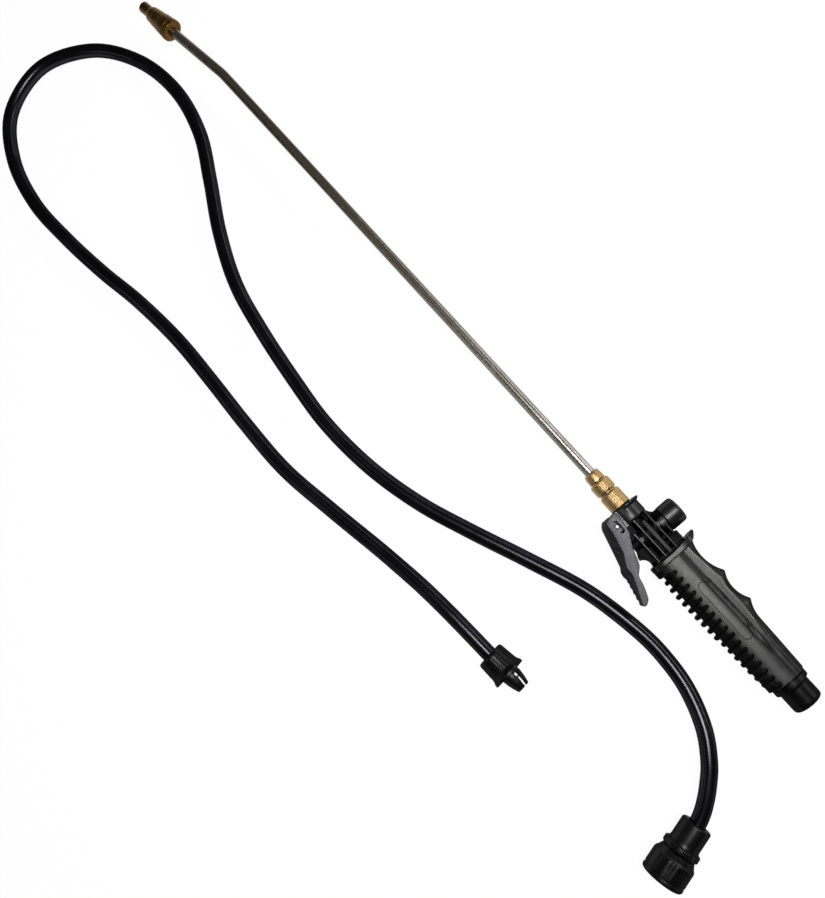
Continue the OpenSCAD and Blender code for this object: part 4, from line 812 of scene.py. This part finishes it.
# %% The nozzle
BEND_TO_NOZZLE = 60.5
NOZZLE_AT = (BEND_X + BEND_R * math.sin(BEND) + BEND_TO_NOZZLE * math.cos(BEND),
             BEND_R * (1 - math.cos(BEND)) + BEND_TO_NOZZLE * math.sin(BEND), 0.0)
NOZZLE_DIR = (math.cos(BEND), math.sin(BEND), 0.0)
body_profile = soften([[0, 4.02], [0, 7.6], [0.5, 8.6], [1.2, 9.6], [4.6, 9.6], [4.6, 5.2], [17, 5.2],
                       [17, 4.1], [19.2, 4.1], [19.2, 5.2], [23, 5.2], [24, 4.2], [24, 3], [8, 3], [8, 4.02]],
                      [.1, .5, .5, .6, .4, .1, .1, .1, .1, .1, .3, .3, .1, .1, .1], 3, closed=True)
body_skin = turned(spread(body_profile, 150, closed=True), NOZZLE_AT, NOZZLE_DIR, 192,
                   teeth(24, 0.25, 0.9, 4.4, 0.5), True)
make_piece("nozzle_rear", body_skin, "lance", "bronzed_brass", ["nozzle_body"], crisp=45)
cap_outer = [[4.9, 8.9], [5.6, 9.2], [13.4, 8.6], [13.9, 8.3], [21.6, 7.5], [22.1, 7.3], [26, 6.9],
             [28.4, 6.3], [30, 5.0], [31, 4.9], [39.2, 4.9], [40, 4.1], [40, 1.95], [38.8, 0.75]]
cap_inner = [[37.6, 0.75], [28, 3.4], [26.6, 3.4], [26.6, 4.4], [25, 4.4], [25, 5.26], [4.9, 5.26]]
nozzle_profile = soften(cap_outer + cap_inner, 0.35, 4, closed=True)
make_piece("nozzle_cap_shell", turned(nozzle_profile, NOZZLE_AT, NOZZLE_DIR, 144, closed=True), "nozzle",
           "bronzed_brass", ["nozzle_cap"], crisp=30)

# %% [markdown]
# ## Rubbed and highlit edges
# Hands and tools wear the outward edges first, and the materials also paint a highlight on those edges. So
# each mesh gets one number per corner point: how sharply the surface bends there, in turns of the face
# direction per millimetre. It is found from the two faces at each edge: the angle between them, positive on
# an outward edge, over their distance.

# %% How sharply each point bends
def mark_edges(piece):
    """Stores the attribute edge: the mean over a point's edges of angle / distance between the face centres.
    It is positive on an outward edge, where (c2 - c1) . n1 < 0: the next centre lies below this face."""
    mesh = piece.data
    count, loops = len(mesh.polygons), len(mesh.loops)
    normal, centre = np.empty(count * 3), np.empty(count * 3)
    mesh.polygons.foreach_get("normal", normal)
    mesh.polygons.foreach_get("center", centre)
    start, total = np.empty(count, int), np.empty(count, int)
    mesh.polygons.foreach_get("loop_start", start)
    mesh.polygons.foreach_get("loop_total", total)
    edge = np.empty(loops, int)
    mesh.loops.foreach_get("edge_index", edge)
    ends = np.empty(len(mesh.edges) * 2, int)
    mesh.edges.foreach_get("vertices", ends)
    normal, centre, ends = normal.reshape(-1, 3), centre.reshape(-1, 3) / MM, ends.reshape(-1, 2)
    face = np.repeat(np.arange(count), total)
    order = np.argsort(edge, kind="stable")
    edge, face = edge[order], face[order]
    pair = np.flatnonzero(edge[1:] == edge[:-1])
    one, two, which = face[pair], face[pair + 1], edge[pair]
    angle = np.arccos(np.clip(np.sum(normal[one] * normal[two], 1), -1, 1))
    gap = centre[two] - centre[one]
    bend = -np.sign(np.sum(gap * normal[one], 1)) * angle / np.maximum(np.linalg.norm(gap, axis=1), 0.05)
    points = len(mesh.vertices)
    value = np.bincount(ends[which].ravel(), np.repeat(bend, 2), points)
    value /= np.maximum(np.bincount(ends[which].ravel(), minlength=points), 1)
    store = mesh.attributes.new("edge", "FLOAT", "POINT")
    store.data.foreach_set("value", value.astype(np.float32))


for pieces in finish_of.values():
    for piece in pieces:
        mark_edges(piece)
print("edges marked:", sum(len(pieces) for pieces in finish_of.values()))

# %% [markdown]
# ## Nodes
# Materials are networks of nodes. A short helper adds a node and fills its inputs: a value is written, a
# socket is joined. What several materials share is a group, which gives out masks and heights, while each
# material keeps its own shader.

# %% Node helpers
def join(tree, node, values):
    """Fills a node's inputs, named or counted: a value is written, a socket is joined."""
    for name, value in values.items():
        if isinstance(value, bpy.types.NodeSocket):
            tree.links.new(value, node.inputs[name])
        else:
            node.inputs[name].default_value = value


def add(tree, kind, inputs=None, **settings):
    """Adds a shader node, sets its properties, then fills its inputs."""
    node = tree.nodes.new("ShaderNode" + kind)
    for name, value in settings.items():
        setattr(node, name, value)
    join(tree, node, inputs or {})
    return node


def math_node(tree, operation, *values):
    """One sum of values or sockets."""
    return add(tree, "Math", dict(enumerate(values)), operation=operation).outputs[0]


def times(tree, one, other):
    """One value or socket times another."""
    return math_node(tree, "MULTIPLY", one, other)


def times_plus(tree, one, other, base):
    """One value or socket times another, plus a third."""
    return math_node(tree, "MULTIPLY_ADD", one, other, base)


def blend(tree, share, first, second):
    """A colour between two colours."""
    return add(tree, "Mix", {0: share, 6: first, 7: second}, data_type="RGBA").outputs[2]


def between(tree, value, low, high, out_low=0.0, out_high=1.0):
    """A value stretched from one range to another with soft ends, and held outside them."""
    return add(tree, "MapRange", {"Value": value, "From Min": low, "From Max": high, "To Min": out_low,
                                  "To Max": out_high}, interpolation_type="SMOOTHSTEP").outputs[0]


def noise(tree, vector, scale, detail, **more):
    """The value of a noise of that scale."""
    names = {key.title(): value for key, value in more.items()}
    return add(tree, "TexNoise", {"Vector": vector, "Scale": scale, "Detail": detail, **names}).outputs[0]


def new_group(name, inputs, outputs):
    """An empty group with its sockets, its inputs given as (name, kind, value)."""
    tree = bpy.data.node_groups.new(name, "ShaderNodeTree")
    for label, kind, value in inputs:
        socket = tree.interface.new_socket(name=label, in_out="INPUT", socket_type="NodeSocket" + kind)
        if value is not None:
            socket.default_value = value
    for label in outputs:
        tree.interface.new_socket(name=label, in_out="OUTPUT", socket_type="NodeSocketFloat")
    return tree, tree.nodes.new("NodeGroupInput").outputs, tree.nodes.new("NodeGroupOutput")


def use(tree, group, inputs):
    """A group placed in a tree, with its inputs filled."""
    return add(tree, "Group", inputs, node_tree=group).outputs

# %% [markdown]
# Moulded plastic carries the fine grain of its steel mould. Over it lies a cloudy change of tone from the
# flow of the melt, and dust that settles on what faces up.

# %% Group: moulded grain
tree, given, grain_out = new_group("moulded_grain", [("Vector", "Vector", None), ("Scale", "Float", 2500.0)],
                                   ["Height", "Cloud", "Dust", "Speck"])
grain_group, vector, scale = tree, given["Vector"], given["Scale"]
pits = add(tree, "TexVoronoi", {"Vector": vector, "Scale": scale}).outputs[0]
cloud = noise(tree, vector, 60.0, 4.0, roughness=0.6)
mottle = noise(tree, vector, 620.0, 4.0)
patch = noise(tree, vector, 170.0, 6.0, roughness=0.7)
facing = add(tree, "SeparateXYZ", {0: add(tree, "NewGeometry").outputs["Normal"]}).outputs[2]
join(tree, grain_out, {
    "Height": math_node(tree, "ADD", noise(tree, vector, scale, 3.0), times(tree, pits, 0.5)),
    "Cloud": between(tree, cloud, 0.3, 0.7),
    "Dust": times(tree, between(tree, facing, 0.25, 0.95), between(tree, patch, 0.46, 0.72)),
    "Speck": between(tree, mottle, 0.35, 0.65),
})
print("grain gives:", [socket.name for socket in grain_out.inputs if socket.name])

# %% [markdown]
# Rubbing is patchy: the bend of the surface decides where it can happen, and a noise decides where it did.
# The same mask carries a painted highlight on the outward edges.

# %% Group: rubbed edges and painted edge highlights
tree, given, rub_out = new_group(
    "rubbed_and_highlit_edges", [("Vector", "Vector", None), ("Start", "Float", 0.25), ("End", "Float", 1.6)],
    ["RubAndHighlight", "Hollow"])
rub_and_highlight_group = tree
bend = add(tree, "Attribute", attribute_name="edge").outputs["Fac"]
patches = noise(tree, given["Vector"], 420.0, 5.0, roughness=0.65)
outward = add(tree, "MapRange", {"Value": bend, "From Min": given["Start"], "From Max": given["End"]})
# RubAndHighlight: wear and a painted highlight on the outward edges; Hollow: the inward bends
join(tree, rub_out, {"RubAndHighlight": times(tree, outward.outputs[0], between(tree, patches, 0.3, 0.62, 0.35, 1.0)),
                     "Hollow": between(tree, times(tree, bend, -1.0), 0.2, 1.4)})
print("rubbing gives:", [socket.name for socket in rub_out.inputs if socket.name])

# %% [markdown]
# Drawn and turned metal has lines from the tool. A noise that is squeezed across the lines and stretched
# along them gives them; the stretch is the group's input, so one group serves the tube and the nuts.

# %% Group: tool lines
tree, given, line_out = new_group(
    "tool_lines", [("Vector", "Vector", None), ("Stretch", "Vector", (4.0, 1500.0, 1500.0))],
    ["Lines", "Stain", "Smear"])
line_group, vector = tree, given["Vector"]
stretched = add(tree, "VectorMath", {0: vector, 1: given["Stretch"]}, operation="MULTIPLY").outputs[0]
join(tree, line_out, {
    "Lines": between(tree, noise(tree, stretched, 1.0, 5.0, roughness=0.7), 0.32, 0.68),
    "Stain": between(tree, noise(tree, vector, 240.0, 6.0, roughness=0.65), 0.5, 0.68),
    "Smear": between(tree, noise(tree, vector, 45.0, 3.0), 0.35, 0.7),
})
print("groups:", len(bpy.data.node_groups))

# %% [markdown]
# Black glossy plastic shows almost nothing of its own colour: what the eye sees is a dark, soft mirror
# image of the room. So the shader is told that it is mostly a dark mirror, with a Metallic of 0.9 and a
# dark base colour. Its Specular Tint holds down the pale rim that a mirror has at a low angle, which such
# plastic doesn't show. The white plastic inside the valve is plain, with no Metallic.

# %% Materials: plastics
made = {}


def new_material(slot):
    """A node material named after its slot: its nodes and its shader."""
    made[slot] = bpy.data.materials.new(slot)
    made[slot].use_nodes = True
    return made[slot].node_tree, made[slot].node_tree.nodes["Principled BSDF"]


def grey(value, tint):
    """A near-grey colour."""
    return tuple(value * t for t in tint) + (1.0,)


def plastic(slot, tone, worn_and_highlight, rough, scale=2600.0, depth=0.00004, dusty=0.3, tint=(1.0, 1.0, 1.03),
            speck=0.12, rub_and_highlight=0.6, mirror=0.9, edge=0.15):
    """Moulded plastic: a cloudy tone, grain as a bump, paler smoother rubbed edges with a painted highlight,
    darker hollows, dust.
    """
    tree, shader = new_material(slot)
    where = add(tree, "TexCoord").outputs["Object"]
    grain = use(tree, grain_group, {"Vector": where, "Scale": scale})
    rub_and_light_masks = use(tree, rub_and_highlight_group, {"Vector": where})
    colour = blend(tree, grain["Cloud"], grey(tone * 0.82, tint), grey(tone * 1.2, tint))
    colour = blend(tree, times(tree, grain["Speck"], speck), colour, grey(worn_and_highlight, tint))
    colour = blend(tree, times(tree, rub_and_light_masks["Hollow"], 0.5), colour, grey(tone * 0.35, tint))
    # wear and painted highlight: outward edges go towards the paler grey
    colour = blend(tree, times(tree, rub_and_light_masks["RubAndHighlight"], rub_and_highlight), colour, grey(worn_and_highlight, tint))
    colour = blend(tree, times(tree, grain["Dust"], dusty * 0.25), colour, (0.2, 0.185, 0.16, 1))
    uneven = times_plus(tree, grain["Cloud"], 0.1, rough - 0.05)
    uneven = times_plus(tree, grain["Dust"], dusty * 0.35, uneven)
    uneven = times_plus(tree, rub_and_light_masks["RubAndHighlight"], -0.08, uneven)
    bump = add(tree, "Bump", {"Height": grain["Height"], "Distance": depth, "Strength": 0.5}).outputs[0]
    join(tree, shader, {"Base Color": colour, "Roughness": uneven, "Normal": bump, "Metallic": mirror,
                        "Specular Tint": (edge, edge, edge, 1.0)})


plastic("black_plastic", tone=0.054, worn_and_highlight=0.07, rough=0.38, scale=5000.0, depth=0.000008, dusty=0.04,
        speck=0.05, rub_and_highlight=0.1, edge=0.08)
plastic("grey_plastic", tone=0.039, worn_and_highlight=0.06, rough=0.36, scale=4200.0, depth=0.00001, dusty=0.08,
        tint=(1.0, 1.0, 0.99), speck=0.04, rub_and_highlight=0.2, edge=0.08)
plastic("lever_plastic", tone=0.05, worn_and_highlight=0.08, rough=0.42, scale=4000.0, depth=0.00001, dusty=0.12,
        tint=(1.0, 0.99, 1.06), speck=0.06, rub_and_highlight=0.4, edge=0.4)
plastic("fitting_plastic", tone=0.022, worn_and_highlight=0.04, rough=0.34, scale=5000.0, depth=0.000008, dusty=0.04,
        speck=0.05, rub_and_highlight=0.15)
plastic("black_rubber", tone=0.02, worn_and_highlight=0.04, rough=0.6, scale=3500.0, depth=0.00005, dusty=0.5)
plastic("white_plastic", tone=0.62, worn_and_highlight=0.7, rough=0.4, dusty=0.1, tint=(1.0, 0.99, 0.95), mirror=0.0,
        edge=1.0)
print("plastics:", sorted(made))

# %% [markdown]
# The grip's top has a place for a label, bordered by a fine sunk line whose shade is painted as a near-black
# line. The line is the edge of a stadium: the distance to a straight piece of the grip's middle, less a
# radius. It is drawn where that distance is almost zero. Down the comb the fins' shade is painted too: their
# tone goes to black over the first few millimetres behind the flat top.

# %% Painted shade: the label's sunk line and the comb
# the colour of painted shade, for the label's sunk line and the comb's fins
PAINTED_SHADE_BLACK = (0.004, 0.004, 0.004, 1)
LABEL_MIDDLE, LABEL_HALF, LABEL_R = from_lance([83.5, -3.2, 0]), 21 * MM, 3.5 * MM
COMB_FROM, COMB_TO = from_lance([0, 5.0, 0]), from_lance([127, 9.0, 0])


def finished(slot):
    """A material made already: its nodes, its shader, what colours it, and the place as x, y and z."""
    tree = made[slot].node_tree
    shader = tree.nodes["Principled BSDF"]
    place = add(tree, "SeparateXYZ", {0: add(tree, "TexCoord").outputs["Object"]}).outputs
    return tree, shader, shader.inputs["Base Color"].links[0].from_socket, place


def duller(tree, shader, mask, more):
    """The shader's roughness with more added where the mask is one."""
    rough = shader.inputs["Roughness"].links[0].from_socket
    join(tree, shader, {"Roughness": times_plus(tree, mask, more, rough)})


tree, shader, under, place = finished("grey_plastic")
along = math_node(tree, "ABSOLUTE", math_node(tree, "SUBTRACT", place[0], LABEL_MIDDLE[0]))
along = math_node(tree, "MAXIMUM", math_node(tree, "SUBTRACT", along, LABEL_HALF), 0.0)
aside = math_node(tree, "SUBTRACT", place[1], LABEL_MIDDLE[1])
squares = math_node(tree, "ADD", times(tree, along, along), times(tree, aside, aside))
from_line = math_node(tree, "SUBTRACT", math_node(tree, "SQRT", squares), LABEL_R)
on_line = between(tree, math_node(tree, "ABSOLUTE", from_line), 0.1 * MM, 0.3 * MM, 1.0, 0.0)
on_line = times(tree, on_line, between(tree, place[2], 27.5 * MM, 28 * MM))
# painted shade: the label's sunk line is drawn near black
with_line_shade = blend(tree, times(tree, on_line, 0.85), under, PAINTED_SHADE_BLACK)
# painted shade: the comb's fins go to black behind the flat top
comb_painted_shade = times(tree, between(tree, place[1], COMB_FROM[1], COMB_TO[1], 0.0, 0.8),
                math_node(tree, "LESS_THAN", place[0], COMB_TO[0]))
join(tree, shader, {"Base Color": blend(tree, comb_painted_shade, with_line_shade, PAINTED_SHADE_BLACK)})
duller(tree, shader, on_line, 0.4)
print("label outline:", round(2 * (LABEL_HALF + LABEL_R) / MM), "mm long")

# %% [markdown]
# Between the ribs the cage is a set of deep pockets. They are made matt, and their shade is painted: their
# colour goes to near black. A pocket is what lies inside the cage's length and below the ribs' tops, so three
# coordinates find it. The inlet stub gets painted shade as well.

# %% The cage's pockets and the inlet stub: painted shade
cage_low, cage_high = from_lance([CAGE_X, -16.4, 0]), from_lance([169.6, 15.8, 0])
axis_height = from_lance([0, 0, 0])[2]
tree, shader, under, place = finished("black_plastic")
from_middle = math_node(tree, "ABSOLUTE", math_node(tree, "SUBTRACT", place[2], axis_height))
# painted shade: the pockets below the ribs' tops
pocket_painted_shade = between(tree, from_middle, 8.8 * MM, 9.9 * MM, 1.0, 0.0)
for axis in (0, 1):
    pocket_painted_shade = times(tree, pocket_painted_shade, math_node(tree, "GREATER_THAN", place[axis], cage_low[axis]))
    pocket_painted_shade = times(tree, pocket_painted_shade, math_node(tree, "LESS_THAN", place[axis], cage_high[axis]))
# painted shade: the inlet stub
stub_painted_shade = math_node(tree, "LESS_THAN", place[0], from_lance([GRIP_REAR, 0, 0])[0])
painted_shade = times_plus(tree, stub_painted_shade, 0.7, times(tree, pocket_painted_shade, 0.88))
join(tree, shader, {"Base Color": blend(tree, painted_shade, under, (0.002, 0.002, 0.002, 1))})
duller(tree, shader, pocket_painted_shade, 0.15)
print("pockets reach:", round((cage_high[0] - cage_low[0]) / MM, 1), "mm along the lance")

# %% [markdown]
# The hose's skin shows what extrusion leaves: lines along its length, a slow wave in its gloss and a few
# scuffs. Its points carry their place on the hose as if it lay straight, so the lines follow every curve.

# %% Material: the hose
far = np.concatenate([[0], np.cumsum(hose_steps)]) * MM
round_it = np.tile(unit_circle(HOSE_SIDES), (len(far), 1)) * HOSE_R * MM
straight_place = np.concatenate([np.repeat(far, HOSE_SIDES)[:, None], round_it], 1)
place_store = hose_tube.data.attributes.new("straight", "FLOAT_VECTOR", "POINT")
place_store.data.foreach_set("vector", straight_place.astype(np.float32).ravel())
print("hose points:", len(hose_tube.data.vertices), len(straight_place))

tree, shader = new_material("hose_pvc")
straight_at = add(tree, "Attribute", attribute_name="straight").outputs["Vector"]
lines = use(tree, line_group, {"Vector": straight_at, "Stretch": (9.0, 900.0, 900.0)})
grain = use(tree, grain_group, {"Vector": straight_at, "Scale": 1800.0})
colour = blend(tree, lines["Smear"], (0.022, 0.022, 0.025, 1), (0.032, 0.032, 0.036, 1))
colour = blend(tree, times(tree, lines["Stain"], 0.07), colour, (0.05, 0.05, 0.052, 1))
colour = blend(tree, times(tree, grain["Dust"], 0.006), colour, (0.2, 0.19, 0.17, 1))
uneven = times_plus(tree, lines["Smear"], 0.02, 0.22)
uneven = times_plus(tree, lines["Stain"], 0.01, uneven)
bump = add(tree, "Bump", {"Height": lines["Smear"], "Distance": 0.00003, "Strength": 0.05}).outputs[0]
join(tree, shader, {"Base Color": colour, "Roughness": uneven, "Normal": bump, "Metallic": 0.9,
                    "Specular Tint": (0.06, 0.06, 0.06, 1.0)})

# %% [markdown]
# The metals take their colour from what they mirror, so their roughness and their tool lines do most of the
# work. Brass tarnishes brown in its hollows, and its outward edges are rubbed bright and carry a painted
# highlight. The nozzle's brass has gone dark bronze all over.

# %% Materials: metals
def metal(slot, bright, dull, rough, stretch, depth, stain=0.5, lines_rough=0.12, edge_highlight_share=0.7, hollow=0.7):
    """Worked metal: dull to bright with smears, rubbed edges that carry a painted highlight, and lines that
    roughen and lift it.
    """
    bright, dull, deep = (*bright, 1), (*dull, 1), (*(c * 0.3 for c in dull), 1.0)
    tree, shader = new_material(slot)
    where = add(tree, "TexCoord").outputs["Object"]
    lines = use(tree, line_group, {"Vector": where, "Stretch": stretch})
    rub_and_light_masks = use(tree, rub_and_highlight_group, {"Vector": where, "Start": 0.3, "End": 2.2})
    colour = blend(tree, lines["Smear"], dull, bright)
    colour = blend(tree, times(tree, lines["Stain"], stain), colour, dull)
    colour = blend(tree, times(tree, rub_and_light_masks["Hollow"], hollow), colour, deep)
    # wear and painted highlight: outward edges go towards the bright colour
    colour = blend(tree, times(tree, rub_and_light_masks["RubAndHighlight"], edge_highlight_share), colour, bright)
    uneven = times_plus(tree, lines["Lines"], lines_rough, rough)
    uneven = times_plus(tree, lines["Stain"], 0.15 * stain, uneven)
    uneven = times_plus(tree, rub_and_light_masks["RubAndHighlight"], -0.08, uneven)
    bump = add(tree, "Bump", {"Height": lines["Lines"], "Distance": depth, "Strength": 0.4}).outputs[0]
    join(tree, shader, {"Base Color": colour, "Metallic": 1.0, "Roughness": uneven, "Normal": bump})


metal("brass", bright=(0.52, 0.36, 0.17), dull=(0.42, 0.28, 0.125), rough=0.4, stretch=(2600.0, 90.0, 90.0),
      depth=0.000004, stain=0.2, lines_rough=0.05, edge_highlight_share=0.15, hollow=0.12)
metal("bronzed_brass", bright=(0.21, 0.11, 0.026), dull=(0.105, 0.048, 0.01), rough=0.36,
      stretch=(2200.0, 80.0, 80.0), depth=0.00001, stain=0.4, lines_rough=0.1, edge_highlight_share=0.75, hollow=0.5)
metal("stainless", bright=(0.55, 0.53, 0.49), dull=(0.42, 0.4, 0.36), rough=0.27, stretch=(3.0, 700.0, 700.0),
      depth=0.0000003, stain=0.15, lines_rough=0.02, edge_highlight_share=0.0, hollow=0.0)
metal("steel", bright=(0.012, 0.012, 0.012), dull=(0.006, 0.006, 0.006), rough=0.6,
      stretch=(60.0, 60.0, 2400.0), depth=0.00002, edge_highlight_share=0.0)
metal("spring_steel", bright=(0.42, 0.42, 0.43), dull=(0.2, 0.2, 0.2), rough=0.28,
      stretch=(900.0, 900.0, 60.0), depth=0.00002)
metal("steel_mesh", bright=(0.5, 0.5, 0.5), dull=(0.28, 0.28, 0.27), rough=0.35,
      stretch=(1500.0, 1500.0, 1500.0), depth=0.00003)
print("materials so far:", len(made))

# %% [markdown]
# The tube's colour carries painted shade. It turns browner and darker from the gland towards the nozzle,
# and half of that fades again on the last stretch after the bend. Its flanks are painted near black, more
# where the colour is browner: the slant is one minus the upward share of the surface's direction. The
# lowest flanks are painted dark along the whole tube.

# %% The tube's painted shade
shade_start, shade_full = from_lance([230, 0, 0])[0], from_lance([560, 0, 0])[0]
shade_eases_from, shade_eases_to = from_lance([670, 0, 0])[0], from_lance([735, 0, 0])[0]
tree, shader, under, place = finished("stainless")
# painted shade: browner and darker towards the nozzle, easing to half on the last stretch
far_painted_shade = times(tree, between(tree, place[0], shade_start, shade_full),
             between(tree, place[0], shade_eases_from, shade_eases_to, 1.0, 0.5))
upward = add(tree, "SeparateXYZ", {0: add(tree, "NewGeometry").outputs["Normal"]}).outputs[2]
slant = math_node(tree, "SUBTRACT", 1.0, upward)
far_shaded_colour = blend(tree, far_painted_shade, under, (0.52, 0.44, 0.34, 1))
# painted shade: the flanks go near black
flank_painted_shade = times(tree, far_painted_shade, between(tree, slant, 0.02, 0.16, 0.0, 0.88))
flank_painted_shade = math_node(tree, "MAXIMUM", flank_painted_shade, between(tree, slant, 0.3, 0.6, 0.0, 0.85))
join(tree, shader, {"Base Color": blend(tree, flank_painted_shade, far_shaded_colour, (0.03, 0.026, 0.02, 1))})
print("the film grows over", round((shade_full - shade_start) / MM), "mm of the tube")

# %% [markdown]
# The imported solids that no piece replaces, such as the valve's inner parts, wear the same materials as
# their slots.

# %% Hand out the materials
slot_of = {part["node"]: part["material_slot"] for part in frame["record"]["subparts"]}
for node, solid in nodes.items():
    solid.data.materials.clear()
    solid.data.materials.append(made[slot_of[node]])
for slot, pieces in finish_of.items():
    for piece in pieces:
        piece.data.materials.append(made[slot])
print("materials:", sorted(made))

# %% [markdown]
# ## The studio
# The floor is pale paper. Nine tenths of what the camera and the reflections see of it is an even white
# glow, so the object stands free on white with a faint shadow, and metal mirrors white. The world is white
# to the camera and gives reflections a pale wall low down, but almost no light. Four soft lamps light the
# object: a broad one above, whose mirror image lies on the grip's flat top, two long low ones in a row
# beside the lance, which draw the thin lights along tube and hose, and a weak one behind.

# %% The floor
floor_mesh = bpy.data.meshes.new("floor")
floor_mesh.from_pydata([(-40, -40, 0), (40, -40, 0), (40, 40, 0), (-40, 40, 0)], [], [(0, 1, 2, 3)])
floor = bpy.data.objects.new("floor", floor_mesh)
bpy.context.scene.collection.objects.link(floor)
tree, shader = new_material("paper")
join(tree, shader, {"Base Color": (0.86, 0.86, 0.86, 1), "Roughness": 0.9, "Specular IOR Level": 0.1})
glow = add(tree, "Emission", {"Color": (1, 1, 1, 1), "Strength": 1.05})
ray = add(tree, "LightPath").outputs
seen = math_node(tree, "MAXIMUM", ray["Is Camera Ray"], ray["Is Transmission Ray"])
seen = times(tree, math_node(tree, "MAXIMUM", seen, ray["Is Glossy Ray"]), 0.9)
both = add(tree, "MixShader", {0: seen, 1: shader.outputs[0], 2: glow.outputs[0]})
join(tree, tree.nodes["Material Output"], {0: both.outputs[0]})
floor_mesh.materials.append(made["paper"])
print("floor:", floor.dimensions.x, "m wide")

# %% Sky and lamps
world = bpy.data.worlds.new("studio")
bpy.context.scene.world = world
world.use_nodes = True
sky = world.node_tree
ray = add(sky, "LightPath").outputs
height = add(sky, "SeparateXYZ", {0: add(sky, "TexCoord").outputs["Generated"]}).outputs[2]
wall = between(sky, height, 0.06, 0.18, 1.0, 0.0)
seen = math_node(sky, "MAXIMUM", ray["Is Camera Ray"], ray["Is Transmission Ray"])
seen = math_node(sky, "MAXIMUM", seen, times(sky, ray["Is Glossy Ray"], wall))
join(sky, sky.nodes["Background"], {"Color": (1, 1, 1, 1), "Strength": times_plus(sky, seen, 0.95, 0.05)})


def softbox(name, place, aim, size, power):
    """A rectangular lamp that looks from its place towards its aim."""
    lamp = bpy.data.lights.new(name, "AREA")
    lamp.shape, lamp.size, lamp.size_y, lamp.energy = "RECTANGLE", size[0], size[1], power
    box = bpy.data.objects.new(name, lamp)
    bpy.context.scene.collection.objects.link(box)
    box.location = place
    box.rotation_euler = (Vector(aim) - Vector(place)).to_track_quat("-Z", "Y").to_euler()


softbox("above", (-0.28, -0.12, 1.5), (-0.22, 0.0, 0), (0.26, 0.5), 13)
softbox("beside", (-0.5, -1.2, 0.62), (-0.5, 0.0, 0), (0.8, 0.12), 4)
softbox("along", (0.3, -1.2, 0.62), (0.3, 0.0, 0), (0.8, 0.12), 1.7)
softbox("behind", (0.5, 1.3, 0.9), (0, 0.1, 0), (1.0, 0.2), 1.0)
bpy.context.scene.view_settings.view_transform = "Standard"
print("lamps:", sorted(lamp.name for lamp in bpy.data.lights))
